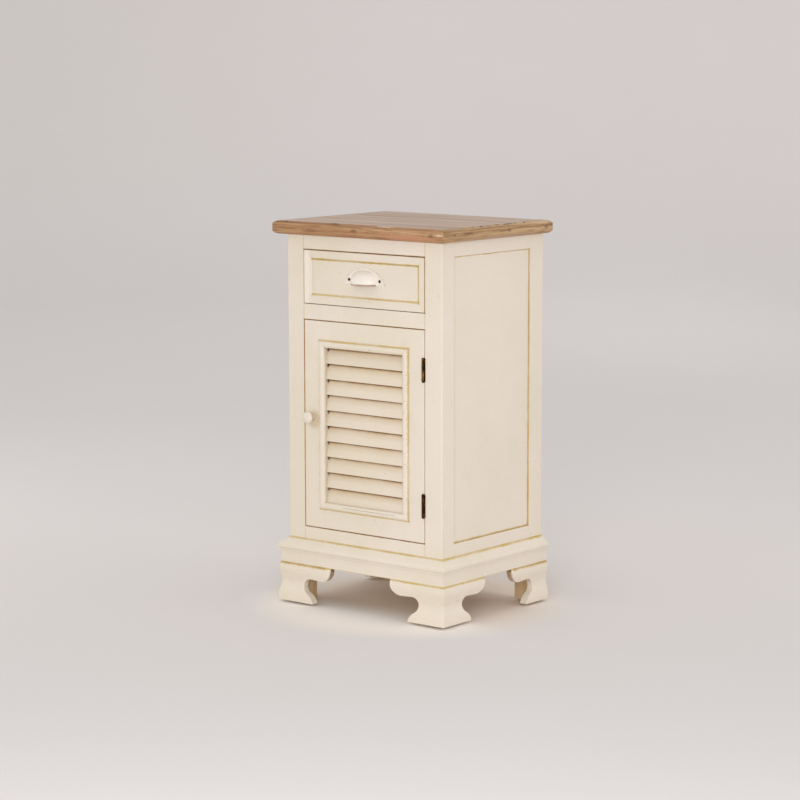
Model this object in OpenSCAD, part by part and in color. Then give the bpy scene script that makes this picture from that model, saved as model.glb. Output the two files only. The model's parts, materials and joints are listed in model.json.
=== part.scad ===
// Bedside pot cupboard: painted frame-and-panel case on ogee bracket feet, with a moulded
// wood top, one inset drawer with a cup handle, and one inset louvred door on butt hinges.
// Millimetres. The front faces -Y, the hinge side is +X, and the origin is at the middle of
// the floor beneath the cupboard.

/* [Case] */
// Width of the case across the posts
case_w = 384; // [340:1:460]
// Depth of the case from the front face to the back
case_d = 321; // [290:1:400]
// Height of the door opening
door_opening_h = 412; // [360:1:480]
// Height of the drawer opening
drawer_opening_h = 107; // [95:1:150]
// Width of each post, seen from the front
post_w = 41; // [34:1:50]
// Depth of each front post, seen from the side
post_front_d = 38; // [30:1:50]
// Depth of each rear post, seen from the side
post_rear_d = 42; // [30:1:50]
// Radius of the eased outer corner of each post
post_arris_r = 2; // [1:0.5:5]
// Height of the front and side top rails
top_rail_h = 28; // [22:1:45]
// Height of the rail between drawer and door
mid_rail_h = 30; // [22:1:45]
// Height of the front and side bottom rails
bottom_rail_h = 25; // [20:1:45]
// Thickness of the rails
rail_t = 22; // [18:1:26]

/* [Panels and boards] */
// Thickness of the side panels
side_panel_t = 6; // [4:0.5:9]
// Depth of the side panels' faces behind the frame
side_panel_recess = 4; // [2:0.5:7]
// Depth of the grooves that hold the side panels
panel_groove_d = 8; // [5:0.5:12]
// Thickness of the back panel
back_panel_t = 6; // [4:0.5:10]
// Width of the rebates in the rear posts for the back panel
back_rebate_w = 8; // [5:0.5:14]
// Thickness of the cupboard floor and of the board under the drawer
board_t = 9; // [6:0.5:15]
// Height of the blocks that guide the drawer's sides
runner_h = 30; // [15:1:50]

/* [Top] */
// Thickness of the top
top_t = 26; // [20:1:32]
// Overhang of the top at the front
top_over_front = 24; // [23.5:0.5:35]
// Overhang of the top at each side
top_over_side = 23; // [18:0.5:35]
// Overhang of the top at the back
top_over_rear = 5; // [0:0.5:20]
// Width of the lipping round the top
lipping_w = 14; // [10:0.5:30]
// Radius of the top's corners in plan
top_corner_r = 8; // [3:0.5:12]

/* [Plinth] */
// Height of the plinth moulding
plinth_h = 50; // [45:1:70]
// How far the plinth runs in under the case
plinth_in = 20; // [14:1:28]
// How far the nose of the moulding stands out from the case
nose_out = 17; // [15:0.5:18]
// Radius of the nose
nose_r = 8; // [6:0.5:9]
// Height of the middle of the nose above the plinth's underside
nose_up = 32; // [31:0.5:35]
// How far the thin band below the nose stands out from the case
band_out = 14.2; // [13.5:0.1:14.5]
// Height of the thin band's lower edge above the plinth's underside
band_low = 23; // [18:0.5:24.5]
// Height of the thin band's upper edge above the plinth's underside
band_high = 28; // [26:0.5:29]
// How far the flat frieze stands out from the case
frieze_out = 12.8; // [11:0.1:13.2]

/* [Feet] */
// Height of the bracket feet
foot_h = 77; // [73:1:100]
// Length of each bracket wing from the corner of the frieze
wing_len = 129; // [120:1:150]
// How far the foot's upper bulge stands out from the case
bulge_out = 15.9; // [15:0.1:18]
// Depth of the fullest part of the bulge below the foot's top
bulge_down = 13; // [11:0.5:15]
// Radius of the bulge
bulge_r = 30; // [25:1:35]
// How far the foot's waist stands out from the case
waist_out = 11.8; // [10:0.1:12.5]
// Height of the waist above the foot's underside
waist_up = 40; // [37:0.5:42]
// How far the flared base of the foot stands out from the case
flare_out = 16.9; // [16:0.1:19]
// Height of the fullest part of the flare above the foot's underside
flare_up = 9; // [7:0.5:11]
// Radius of the lobe at the wing's outer end
lobe_r = 24; // [19:0.5:25.5]
// Depth of the lobe's centre below the foot's top
lobe_down = 5.5; // [3:0.5:8]
// Radius of the scrolled bite under the wing
bite_r = 15.5; // [13:0.5:16]
// Distance of the bite's centre from the corner of the frieze
bite_in = 75.5; // [73:0.5:77]
// Height of the bite's centre above the foot's underside
bite_up = 33.5; // [31.5:0.5:34.5]
// Distance of the toe's tip from the corner of the frieze
toe_in = 84.5; // [83:0.5:87]
// Height of the toe's tip above the foot's underside
toe_up = 1; // [0.5:0.5:3]
// Radius of the toe's upper curve
toe_r = 32; // [29:1:42]
// Width of the square glue blocks behind the wings
glue_block_w = 38; // [30:1:42]
// Thickness of the round pads under the feet
pad_t = 5; // [1:0.5:8]
// Radius of the round pads
pad_r = 12; // [6:0.5:15]

/* [Door] */
// Thickness of the door
door_t = 20; // [18:0.5:24]
// Gap round the door
door_gap = 1.5; // [1:0.1:2.5]
// Width of the door's stiles and rails
door_frame_w = 49; // [46:1:60]
// Distance from the door's edge to the bead
bead_margin = 38; // [36:0.5:40]
// Width of the half-round bead
bead_w = 14; // [12:0.5:18]
// Height of the bead above the door's face
bead_h = 6; // [4:0.5:6.5]
// Depth of the bead's lip inside the opening
bead_lip_d = 3; // [1:0.5:3]

/* [Louvres] */
// Number of slats
slat_count = 10; // [6:1:14]
// Thickness of each slat
slat_t = 5.5; // [4:0.5:6]
// Lean of the slats from upright, in degrees
slat_lean = 14; // [12:0.5:16]
// How much of each slat lies behind the one above it
slat_lap = 2.5; // [1:0.5:4]
// Depth of the slats' front edges behind the door's face
slat_setback = 3.5; // [3.5:0.5:5]

/* [Hinges] */
// Length of each hinge
hinge_len = 44; // [35:1:60]
// Width of each hinge leaf
leaf_w = 16; // [12:0.5:18]
// Thickness of each hinge leaf
leaf_t = 1.2; // [1:0.1:1.4]
// Radius of the hinge barrel
knuckle_r = 3.2; // [3:0.1:3.6]
// Number of knuckles in each barrel
knuckle_count = 5; // [3:2:7]
// How far the middle of the barrel stands out from the case's face
barrel_out = 1; // [0.8:0.1:1.2]
// Radius of the hinge pin
hinge_pin_r = 1.5; // [1.2:0.1:1.8]
// Distance of the lower hinge from the door's lower edge
hinge_from_bottom = 50; // [40:1:70]
// Distance of the upper hinge from the door's upper edge
hinge_from_top = 54; // [40:1:70]
// Number of screws in each leaf
leaf_screws = 3; // [2:1:3]
// Radius of the hinge screws' shanks
hinge_screw_r = 1.2; // [1:0.1:1.5]
// Length of the hinge screws
hinge_screw_len = 14; // [10:0.5:18]

/* [Knob] */
// Radius of the knob
knob_r = 12; // [10:0.5:14]
// Height of the knob's widest part above the door's face
knob_rim_up = 15; // [13:0.5:15.5]
// Radius of the rounded rim of the knob
knob_rim_r = 3.5; // [3:0.1:4.5]
// Radius of the knob's domed front
knob_dome_r = 15; // [14.5:0.5:20]
// Radius of the knob's neck
knob_neck_r = 4.5; // [4:0.1:6]
// Radius of the knob's foot
knob_foot_r = 7.5; // [6:0.1:9]
// Height of the knob above the middle of the door
knob_up = 14; // [0:1:60]
// Radius of the knob's screw
knob_screw_r = 2; // [1.5:0.1:2.5]

/* [Catch] */
// Width of the magnetic catch
catch_w = 44; // [30:1:50]
// Depth of the magnetic catch
catch_d = 14; // [10:0.5:15]
// Height of the magnetic catch
catch_h = 12; // [8:0.5:16]
// Thickness of the steel plate on the door
strike_t = 1.2; // [0.8:0.1:2]
// Gap between the catch and the steel plate
catch_gap = 0.4; // [0.3:0.1:0.8]

/* [Drawer] */
// Gap round the drawer front
drawer_gap = 1.5; // [1:0.1:2.5]
// Thickness of the drawer front with its moulding
drawer_front_t = 20; // [17:0.5:24]
// Width of the moulding round the drawer front
moulding_w = 17.5; // [14:0.5:24]
// Thickness of the moulding
moulding_t = 5; // [4:0.5:6]
// Width of the moulding's flat outer part
moulding_flat = 7; // [4:0.5:10]
// Thickness of the moulding's inner edge
moulding_edge = 0.8; // [0.5:0.1:1.5]
// Thickness of the drawer's sides and back
drawer_side_t = 12; // [9:0.5:15]
// Height of the drawer's sides
drawer_side_h = 92; // [70:1:93]
// Height of the drawer's back
drawer_back_h = 70; // [50:1:75]
// Thickness of the drawer's bottom
drawer_bottom_t = 5; // [3:0.5:7]
// Height of the drawer's bottom above the sides' lower edges
drawer_bottom_up = 9; // [8:0.5:14]
// Depth of the grooves that hold the drawer's bottom
bottom_groove_d = 6; // [4:0.5:7]
// Gap under the drawer's sides
slide_clear = 0.4; // [0.3:0.1:0.6]
// Gap between the drawer and the back panel
drawer_stop_gap = 0.5; // [0.4:0.1:3]

/* [Cup handle] */
// Distance between the cup handle's screws
cup_screw_span = 76; // [72:1:84]
// Width of the cup handle's flange
cup_flange_w = 98; // [94:1:110]
// Height of the flange
cup_flange_h = 32.5; // [31:0.5:38]
// Thickness of the cup handle's metal
cup_t = 1.6; // [1.2:0.1:2.2]
// Width of the cup
cup_w = 68; // [60:1:68]
// How far the cup reaches out from the drawer's panel
cup_reach = 22; // [18:0.5:22]
// Height of the cup's upright skirt
cup_skirt = 6; // [3:0.5:7]
// Height of the screws above the flange's lower edge
cup_screw_up = 9; // [7:0.5:10]
// Radius of the screws' heads
cup_head_r = 2.7; // [2.3:0.1:3.2]
// Radius of the screws' shanks
cup_screw_r = 1.6; // [1.2:0.1:2]

/* [Hidden] */
$fn = 64;
// Turn between two points on an arc of an outline
arc_step = 6;
// Clearance of each panel and board in its groove
groove_clear = 0.2;
// Radial clearance of the hinge pin in its knuckles
pin_clear = 0.05;
// Clearance round each barrel and between its knuckles
knuckle_clear = 0.4;
// Hairline between the mitred strips of the drawer's moulding
mitre_hairline = 0.2;
// Extra length of a cut past the face it starts from
cut = 1;
// Widening of a countersunk head over its shank
countersink = 1.2;
// Thickness of the button on each end of a hinge pin
pin_button_t = 1;
// How far the buttons stop short of the barrel's radius
pin_button_step = 0.6;
// Space beyond each button in the door's edge
pin_button_space = 0.3;
// Place of the screws across each hinge leaf, as a share of its width
leaf_screw_share = 0.62;
// Clearance of the lowest and the highest slat in the door's light
slat_clear = 0.5;
// Thickness of the knob's foot, and the two ends of its neck, above the door's face
knob_foot_t = 2;
knob_neck_low = 4.5;
knob_neck_high = 7.5;
// Depth of the hole in the knob's back for its screw, and thickness of the screw's head
knob_hole_d = 9;
knob_screw_head_t = 2.2;
// Distance of the catch from the post beside it
catch_in = 6;
// How far the steel plate stops short of the catch's ends and of the door's edge
strike_short = 3;
strike_drop = 0.5;
// Length of the cup handle's screws, and height of the rim of their heads
cup_screw_len = 12;
cup_head_rim = 0.6;

half_w = case_w / 2;
open_half = half_w - post_w;
top_w = case_w + 2 * top_over_side;
top_d = case_d + top_over_front + top_over_rear;
face_y = -top_d / 2 + top_over_front;
back_y = face_y + case_d;

foot_z = pad_t;
plinth_z = foot_z + foot_h;
case_z = plinth_z + plinth_h;
door_z0 = case_z + bottom_rail_h;
door_z1 = door_z0 + door_opening_h;
drawer_z0 = door_z1 + mid_rail_h;
drawer_z1 = drawer_z0 + drawer_opening_h;
top_z = drawer_z1 + top_rail_h;

panel_out = half_w - side_panel_recess;
panel_in = panel_out - side_panel_t;
front_post_back_y = face_y + post_front_d;
rear_post_front_y = back_y - post_rear_d;
back_panel_y = back_y - back_panel_t;

leaf_half = open_half - door_gap;
leaf_z0 = door_z0 + door_gap;
leaf_z1 = door_z1 - door_gap;
door_back_y = face_y + door_t;
hinge_x = open_half - knuckle_r - knuckle_clear;
hinge_y = face_y - barrel_out;
hinge_zs = [leaf_z0 + hinge_from_bottom, leaf_z1 - hinge_from_top - hinge_len];
knuckle_pitch = hinge_len / knuckle_count;
screw_y = face_y + leaf_w * leaf_screw_share;

bead_out_x = leaf_half - bead_margin;
bead_z0 = leaf_z0 + bead_margin;
bead_z1 = leaf_z1 - bead_margin;
light_x = leaf_half - door_frame_w;
light_z0 = leaf_z0 + door_frame_w;
light_z1 = leaf_z1 - door_frame_w;
bead_r = (bead_w * bead_w / 4 + bead_h * bead_h) / (2 * bead_h);

// Rise from one slat to the next: the top slat's upper edge meets the light's upper edge.
slat_skew = slat_t * sin(slat_lean);
slat_pitch = (light_z1 - light_z0 - 2 * slat_clear - slat_skew - slat_lap) / slat_count;
slat_w = (slat_pitch + slat_lap) / cos(slat_lean);

knob_x = -leaf_half + bead_margin / 2;
knob_z = (leaf_z0 + leaf_z1) / 2 + knob_up;
catch_x = -open_half + catch_in + catch_w / 2;
catch_y = door_back_y + strike_t + catch_gap;

drawer_half = open_half - drawer_gap;
drawer_panel_y = face_y + moulding_t;
drawer_box_y = face_y + drawer_front_t;
drawer_end_y = back_panel_y - drawer_stop_gap;
drawer_low_z = drawer_z0 + slide_clear;
drawer_bottom_z = drawer_low_z + drawer_bottom_up;

cup_z = (drawer_z0 + drawer_z1) / 2 - cup_screw_up;
cup_r = (cup_w * cup_w / 4 + cup_reach * cup_reach) / (2 * cup_reach);
cup_behind = cup_r - cup_reach;

cream = "#ecdcc4";
wood = "#a9825f";
bare_wood = "#c7a377";
aged_brass = "#4a3826";

// ---------------------------------------------------------------- helpers

// A box between two opposite corners.
module slab(low, high) {
    translate(low) cube(high - low);
}

// An outline drawn in (x, z), run along Y from y0 to y1.
module run_y(y0, y1) {
    translate([0, y1, 0]) rotate([90, 0, 0]) linear_extrude(y1 - y0) children();
}

// An outline drawn in (y, z), run along X from x0 to x1.
module run_x(x0, x1) {
    translate([x0, 0, 0]) rotate([90, 0, 90]) linear_extrude(x1 - x0) children();
}

// The right-hand copy for side 1, the left-hand copy for side -1.
module on_side(side) {
    if (side > 0) {
        children();
    } else {
        mirror([1, 0, 0]) children();
    }
}

// Points along an arc from angle a0 to angle a1, without its first point.
function arc(centre, r, a0, a1) =
    let (steps = ceil(abs(a1 - a0) / arc_step))
    [for (i = [1 : steps]) let (a = a0 + (a1 - a0) * i / steps) centre + r * [cos(a), sin(a)]];

// Angle of the line from p to q.
function angle_of(p, q) = atan2(q.y - p.y, q.x - p.x);

// A bar of radius r along X from x0 to x1.
module rod_x(x0, x1, r) {
    translate([x0, 0, 0]) rotate([0, 90, 0]) cylinder(h = x1 - x0, r = r);
}

// A bar of radius r along Y from y0 to y1.
module rod_y(y0, y1, r) {
    translate([0, y0, 0]) rotate([-90, 0, 0]) cylinder(h = y1 - y0, r = r);
}

// ---------------------------------------------------------------- top

edge_r = min(top_t / 2, lipping_w - 1);

// Outline of a rounded board edge: x runs in from the outer edge, y up from the underside.
module nosed_edge() {
    translate([edge_r, 0]) square([lipping_w - edge_r, top_t]);
    translate([edge_r, edge_r]) circle(edge_r);
    if (top_t > 2 * edge_r) {
        translate([0, edge_r]) square([edge_r, top_t - 2 * edge_r]);
        translate([edge_r, top_t - edge_r]) circle(edge_r);
    }
}

// Plan of the whole top, with its eased corners.
module top_plan() {
    translate([-top_w / 2 + top_corner_r, -top_d / 2]) square([top_w - 2 * top_corner_r, top_d]);
    translate([-top_w / 2, -top_d / 2 + top_corner_r]) square([top_w, top_d - 2 * top_corner_r]);
    for (x = [-1, 1], y = [-1, 1]) {
        translate([x * (top_w / 2 - top_corner_r), y * (top_d / 2 - top_corner_r)]) circle(top_corner_r);
    }
}

// One mitred strip of lipping, along the edge at -depth / 2, where length is that edge's length.
module lipping(length, depth) {
    intersection() {
        run_x(-length / 2, length / 2) translate([-depth / 2, top_z]) nosed_edge();
        translate([0, 0, top_z]) linear_extrude(top_t) polygon([
            [-length / 2, -depth / 2],
            [length / 2, -depth / 2],
            [length / 2 - lipping_w, -depth / 2 + lipping_w],
            [-length / 2 + lipping_w, -depth / 2 + lipping_w]]);
    }
}

module eased_top() {
    intersection() {
        children();
        translate([0, 0, top_z - cut]) linear_extrude(top_t + 2 * cut) top_plan();
    }
}

module top_panel() {
    color(wood)
    slab([-top_w / 2 + lipping_w, -top_d / 2 + lipping_w, top_z],
         [top_w / 2 - lipping_w, top_d / 2 - lipping_w, top_z + top_t]);
}

module top_lipping_front() { color(wood) eased_top() lipping(top_w, top_d); }
module top_lipping_back() { color(wood) eased_top() rotate([0, 0, 180]) lipping(top_w, top_d); }
module top_lipping_left() { color(wood) eased_top() rotate([0, 0, -90]) lipping(top_d, top_w); }
module top_lipping_right() { color(wood) eased_top() rotate([0, 0, 90]) lipping(top_d, top_w); }

// ---------------------------------------------------------------- case frame

// A rectangle from the origin whose corner at the origin is rounded.
module eased_rect(w, d) {
    difference() {
        square([w, d]);
        difference() {
            square([post_arris_r, post_arris_r]);
            translate([post_arris_r, post_arris_r]) circle(post_arris_r);
        }
    }
}

// The groove that holds the right side panel in a post or rail: the panel with its clearance.
module side_panel_space() {
    slab([panel_in - groove_clear, front_post_back_y - panel_groove_d, door_z0 - panel_groove_d],
         [panel_out + groove_clear, rear_post_front_y + panel_groove_d, drawer_z1 + panel_groove_d]);
}

module post_front_right_blank() {
    difference() {
        translate([half_w, face_y, case_z]) mirror([1, 0, 0])
            linear_extrude(top_z - case_z) eased_rect(post_w, post_front_d);
        side_panel_space();
    }
}

module post_front_left() {
    color(cream) on_side(-1) post_front_right_blank();
}

module post_front_right() {
    color(cream) difference() {
        post_front_right_blank();
        for (z = hinge_zs) {
            slab([open_half - cut, face_y - cut, z], [open_half + leaf_t, face_y + leaf_w, z + hinge_len]);
            hinge_frame_shanks(z);
        }
    }
}

module post_rear(side) {
    on_side(side) difference() {
        translate([half_w, back_y, case_z]) rotate([0, 0, 180])
            linear_extrude(top_z - case_z) eased_rect(post_w, post_rear_d);
        side_panel_space();
        slab([open_half - cut, back_panel_y, case_z - cut],
             [open_half + back_rebate_w, back_y + cut, top_z + cut]);
    }
}

module post_rear_left() { color(cream) post_rear(-1); }
module post_rear_right() { color(cream) post_rear(1); }

module front_top_rail() {
    color(cream)
    slab([-open_half, face_y, drawer_z1], [open_half, face_y + rail_t, top_z]);
}

module front_mid_rail() {
    color(cream)
    slab([-open_half, face_y, door_z1], [open_half, front_post_back_y, drawer_z0]);
}

module front_bottom_rail() {
    color(cream)
    slab([-open_half, face_y, case_z], [open_half, face_y + rail_t, door_z0]);
}

module side_rail(side, z0, z1) {
    on_side(side) difference() {
        slab([half_w - rail_t, front_post_back_y, z0], [half_w, rear_post_front_y, z1]);
        side_panel_space();
    }
}

module side_top_rail_left() { color(cream) side_rail(-1, drawer_z1, top_z); }
module side_top_rail_right() { color(cream) side_rail(1, drawer_z1, top_z); }
module side_bottom_rail_left() { color(cream) side_rail(-1, case_z, door_z0); }
module side_bottom_rail_right() { color(cream) side_rail(1, case_z, door_z0); }

module side_panel(side) {
    reach = panel_groove_d - groove_clear;
    on_side(side)
    slab([panel_in, front_post_back_y - reach, door_z0 - reach],
         [panel_out, rear_post_front_y + reach, drawer_z1 + reach]);
}

module side_panel_left() { color(cream) side_panel(-1); }
module side_panel_right() { color(cream) side_panel(1); }

module back_panel() {
    color(bare_wood)
    slab([-open_half - back_rebate_w, back_panel_y, case_z], [open_half + back_rebate_w, back_y, top_z]);
}

// A board of half width half_x whose corners are cut out round the four posts.
module notched_board(half_x, y0, z0) {
    difference() {
        slab([-half_x, y0, z0], [half_x, back_panel_y, z0 + board_t]);
        for (side = [-1, 1]) {
            on_side(side) slab([open_half, y0 - cut, z0 - cut],
                               [half_x + cut, front_post_back_y, z0 + board_t + cut]);
            on_side(side) slab([open_half, rear_post_front_y, z0 - cut],
                               [half_x + cut, back_y, z0 + board_t + cut]);
        }
    }
}

module cupboard_floor() {
    color(bare_wood) notched_board(half_w - rail_t, face_y + rail_t, door_z0 - board_t);
}

module dust_board() {
    color(bare_wood) notched_board(panel_in, front_post_back_y, drawer_z0 - board_t);
}

module drawer_runners() {
    color(bare_wood) for (side = [-1, 1]) {
        on_side(side) slab([open_half, front_post_back_y, drawer_z0],
                           [panel_in, rear_post_front_y, drawer_z0 + runner_h]);
    }
}

// ---------------------------------------------------------------- plinth and feet

nose_centre = [nose_out - nose_r, nose_up];
// The straight slope from the case's foot touches the nose at this angle.
slope_foot = [0, plinth_h];
nose_turn = angle_of(nose_centre, slope_foot) - acos(nose_r / norm(slope_foot - nose_centre));
nose_end_turn = -asin((nose_up - band_high) / nose_r);

// Plinth moulding: x is the distance out from the case's face, y the height above its underside.
module plinth_outline() {
    polygon(concat(
        [[-plinth_in, plinth_h], [-plinth_in, 0], [frieze_out, 0], [frieze_out, band_low],
            [band_out, band_low], [band_out, band_high],
            nose_centre + nose_r * [cos(nose_end_turn), sin(nose_end_turn)]],
        arc(nose_centre, nose_r, nose_end_turn, nose_turn),
        [slope_foot]));
}

// Plan of everything that stands within reach of the case at the right rear, cut off by the
// front mitre. It is the footprint of a moulding run along the right side.
module side_mitre_plan(reach) {
    polygon([
        [half_w - reach, face_y + reach], [half_w + reach, face_y - reach],
        [half_w + reach, back_y], [half_w - reach, back_y]]);
}

module plinth_side(side) {
    on_side(side) intersection() {
        run_y(face_y - nose_out - cut, back_y) translate([half_w, plinth_z]) plinth_outline();
        translate([0, 0, plinth_z - cut]) linear_extrude(plinth_h + 2 * cut)
            side_mitre_plan(plinth_in + nose_out);
    }
}

module plinth_left() { color(cream) plinth_side(-1); }
module plinth_right() { color(cream) plinth_side(1); }

module plinth_front() {
    reach = plinth_in + nose_out;
    color(cream) intersection() {
        run_x(-half_w - reach, half_w + reach) translate([face_y, plinth_z]) mirror([1, 0]) plinth_outline();
        translate([0, 0, plinth_z - cut]) linear_extrude(plinth_h + 2 * cut) polygon([
            [-half_w - reach, face_y - reach], [half_w + reach, face_y - reach],
            [half_w - reach, face_y + reach], [-half_w + reach, face_y + reach]]);
    }
}

module plinth_back() {
    color(bare_wood)
    slab([-half_w + plinth_in, back_y - plinth_in, plinth_z], [half_w - plinth_in, back_y, case_z]);
}

// The ogee of a foot: three arcs, each touching the next. Their radii follow from how far the
// bulge, waist and flare stand out, and from their heights.
bulge_up = foot_h - bulge_down;
upper_sum = (pow(bulge_up - waist_up, 2) + pow(bulge_out - waist_out, 2)) / (2 * (bulge_out - waist_out));
waist_r = upper_sum - bulge_r;
lower_sum = (pow(waist_up - flare_up, 2) + pow(flare_out - waist_out, 2)) / (2 * (flare_out - waist_out));
flare_r = lower_sum - waist_r;
bulge_centre = [bulge_out - bulge_r, bulge_up];
waist_centre = [waist_out + waist_r, waist_up];
flare_centre = [flare_out - flare_r, flare_up];
upper_turn = angle_of(waist_centre, bulge_centre);
lower_turn = angle_of(flare_centre, waist_centre);
flare_end_turn = -asin(flare_up / flare_r);
bulge_end_turn = asin(bulge_down / bulge_r);

// Foot seen end on: x is the distance out from the case's face, y the height above its underside.
// It runs in by depth behind the face.
module foot_outline(depth) {
    polygon(concat(
        [[-depth, foot_h], [-depth, 0],
            flare_centre + flare_r * [cos(flare_end_turn), sin(flare_end_turn)]],
        arc(flare_centre, flare_r, flare_end_turn, lower_turn),
        arc(waist_centre, waist_r, lower_turn + 180, upper_turn),
        arc(bulge_centre, bulge_r, upper_turn - 180, bulge_end_turn)));
}

lobe_centre = [wing_len - lobe_r, foot_h - lobe_down];
bite_centre = [bite_in, bite_up];
toe_tip = [toe_in, toe_up];

// The straight run between lobe and bite touches both circles.
run_turn = angle_of(bite_centre, lobe_centre) - asin((lobe_r + bite_r) / norm(lobe_centre - bite_centre));
run_normal = [-sin(run_turn), cos(run_turn)];

// The toe's upper curve passes through the toe's tip and touches the bite from below.
toe_gap = norm(toe_tip - bite_centre);
toe_far = bite_r + toe_r;
toe_spread = acos((toe_far * toe_far + toe_gap * toe_gap - toe_r * toe_r) / (2 * toe_far * toe_gap));
toe_turn = angle_of(bite_centre, toe_tip) - toe_spread;
toe_centre = bite_centre + toe_far * [cos(toe_turn), sin(toe_turn)];

// Wing seen from its front: x runs in from the corner of the frieze, y up from its underside.
// It starts past the corner, so that the flare is whole at the mitre.
module wing_outline() {
    past = -2 * flare_out;
    polygon(concat(
        [[toe_in, 0], [past, 0], [past, foot_h], [wing_len, foot_h], [wing_len, lobe_centre.y]],
        arc(lobe_centre, lobe_r, 0, run_turn - 90),
        [bite_centre + bite_r * run_normal],
        arc(bite_centre, bite_r, run_turn + 90, toe_turn + 360),
        arc(toe_centre, toe_r, toe_turn + 180, angle_of(toe_centre, toe_tip))));
}

// Both wings of the front foot at the right. Each face's ogee and each face's outline cut one block,
// so the ogees meet at the mitre, and the corner behind them is cut out.
module foot_front(side) {
    past = 2 * flare_out;
    on_side(side) difference() {
        intersection() {
            run_y(face_y - past, face_y + wing_len) translate([half_w, foot_z]) foot_outline(wing_len);
            run_x(half_w - wing_len, half_w + past)
                translate([face_y, foot_z]) mirror([1, 0]) foot_outline(wing_len);
            run_x(half_w - wing_len, half_w + past) translate([face_y - frieze_out, foot_z]) wing_outline();
            run_y(face_y - past, face_y + wing_len)
                translate([half_w + frieze_out, foot_z]) mirror([1, 0]) wing_outline();
        }
        slab([half_w - wing_len - cut, face_y, foot_z - cut],
             [half_w, face_y + wing_len + cut, plinth_z + cut]);
    }
}

module foot_front_left() { color(cream) foot_front(-1); }
module foot_front_right() { color(cream) foot_front(1); }

module foot_rear(side) {
    on_side(side) intersection() {
        run_y(back_y - wing_len, back_y) translate([half_w, foot_z]) foot_outline(0);
        run_x(half_w - cut, half_w + 2 * flare_out)
            translate([back_y + frieze_out, foot_z]) mirror([1, 0]) wing_outline();
    }
}

module foot_rear_left() { color(cream) foot_rear(-1); }
module foot_rear_right() { color(cream) foot_rear(1); }

// Places its children at the corner of each foot, turned so that +x and +y run inwards.
module at_feet() {
    for (side = [-1, 1]) {
        translate([side * half_w, face_y, 0]) mirror([side > 0 ? 1 : 0, 0, 0]) children();
        translate([side * half_w, back_y, 0]) mirror([0, 1, 0]) mirror([side > 0 ? 1 : 0, 0, 0]) children();
    }
}

module foot_glue_blocks() {
    color("#8a6a48") at_feet() slab([0, 0, foot_z], [glue_block_w, glue_block_w, plinth_z]);
}

module foot_pads() {
    color("#3a322b") at_feet()
        translate([glue_block_w / 2, glue_block_w / 2, 0]) cylinder(h = pad_t, r = pad_r);
}

// ---------------------------------------------------------------- hinges

// Heights of the screws in the hinge leaf that starts at z.
function screw_heights(z) =
    [for (i = [0 : leaf_screws - 1]) z + hinge_len * (i + 0.5) / leaf_screws];

// One knuckle of the barrel that starts at z, with the given radius.
module knuckle(z, i, r, clear) {
    translate([hinge_x, hinge_y, z + i * knuckle_pitch + clear])
        cylinder(h = knuckle_pitch - 2 * clear, r = r);
}

module pin_bore(z) {
    translate([hinge_x, hinge_y, z - cut]) cylinder(h = hinge_len + 2 * cut, r = hinge_pin_r + pin_clear);
}

module hinge_frame_shanks(z) {
    for (h = screw_heights(z)) {
        translate([0, screw_y, h]) rod_x(open_half, open_half + hinge_screw_len, hinge_screw_r);
    }
}

module hinge_door_shanks(z) {
    for (h = screw_heights(z)) {
        translate([0, screw_y, h]) rod_x(leaf_half - hinge_screw_len, leaf_half, hinge_screw_r);
    }
}

// The countersunk heads, widest at x and narrowing over the leaf's thickness towards dir.
module countersunk_heads(z, x, dir) {
    for (h = screw_heights(z)) {
        translate([x, screw_y, h]) rotate([0, 90 * dir, 0])
            cylinder(h = leaf_t, r1 = hinge_screw_r + countersink, r2 = hinge_screw_r);
    }
}

module hinge_frame_leaf(z) {
    difference() {
        union() {
            slab([open_half, face_y, z], [open_half + leaf_t, face_y + leaf_w, z + hinge_len]);
            for (i = [0 : 2 : knuckle_count - 1]) {
                knuckle(z, i, knuckle_r, 0);
                slab([hinge_x, face_y, z + i * knuckle_pitch],
                     [open_half + leaf_t, face_y + leaf_t, z + (i + 1) * knuckle_pitch]);
            }
        }
        pin_bore(z);
        countersunk_heads(z, open_half, 1);
        hinge_frame_shanks(z);
    }
}

module hinge_door_leaf(z) {
    difference() {
        union() {
            difference() {
                slab([leaf_half - leaf_t, hinge_y, z], [leaf_half, face_y + leaf_w, z + hinge_len]);
                for (i = [0 : 2 : knuckle_count - 1]) {
                    knuckle(z, i, knuckle_r + knuckle_clear, -knuckle_clear);
                }
            }
            for (i = [1 : 2 : knuckle_count - 1]) {
                knuckle(z, i, knuckle_r, knuckle_clear);
            }
        }
        pin_bore(z);
        countersunk_heads(z, leaf_half, -1);
        hinge_door_shanks(z);
    }
}

module hinge_frame_leaf_lower() { color(aged_brass) hinge_frame_leaf(hinge_zs[0]); }
module hinge_frame_leaf_upper() { color(aged_brass) hinge_frame_leaf(hinge_zs[1]); }
module hinge_door_leaf_lower() { color(aged_brass) hinge_door_leaf(hinge_zs[0]); }
module hinge_door_leaf_upper() { color(aged_brass) hinge_door_leaf(hinge_zs[1]); }

module hinge_frame_screws() {
    color(aged_brass) for (z = hinge_zs) {
        countersunk_heads(z, open_half, 1);
        hinge_frame_shanks(z);
    }
}

module hinge_door_screws() {
    color(aged_brass) for (z = hinge_zs) {
        countersunk_heads(z, leaf_half, -1);
        hinge_door_shanks(z);
    }
}

module hinge_pins() {
    color(aged_brass) for (z = hinge_zs) {
        for (end = [z - knuckle_clear - pin_button_t, z + hinge_len + knuckle_clear]) {
            translate([hinge_x, hinge_y, end]) cylinder(h = pin_button_t, r = knuckle_r - pin_button_step);
        }
        translate([hinge_x, hinge_y, z - knuckle_clear])
            cylinder(h = hinge_len + 2 * knuckle_clear, r = hinge_pin_r);
    }
}

// ---------------------------------------------------------------- door

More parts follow.
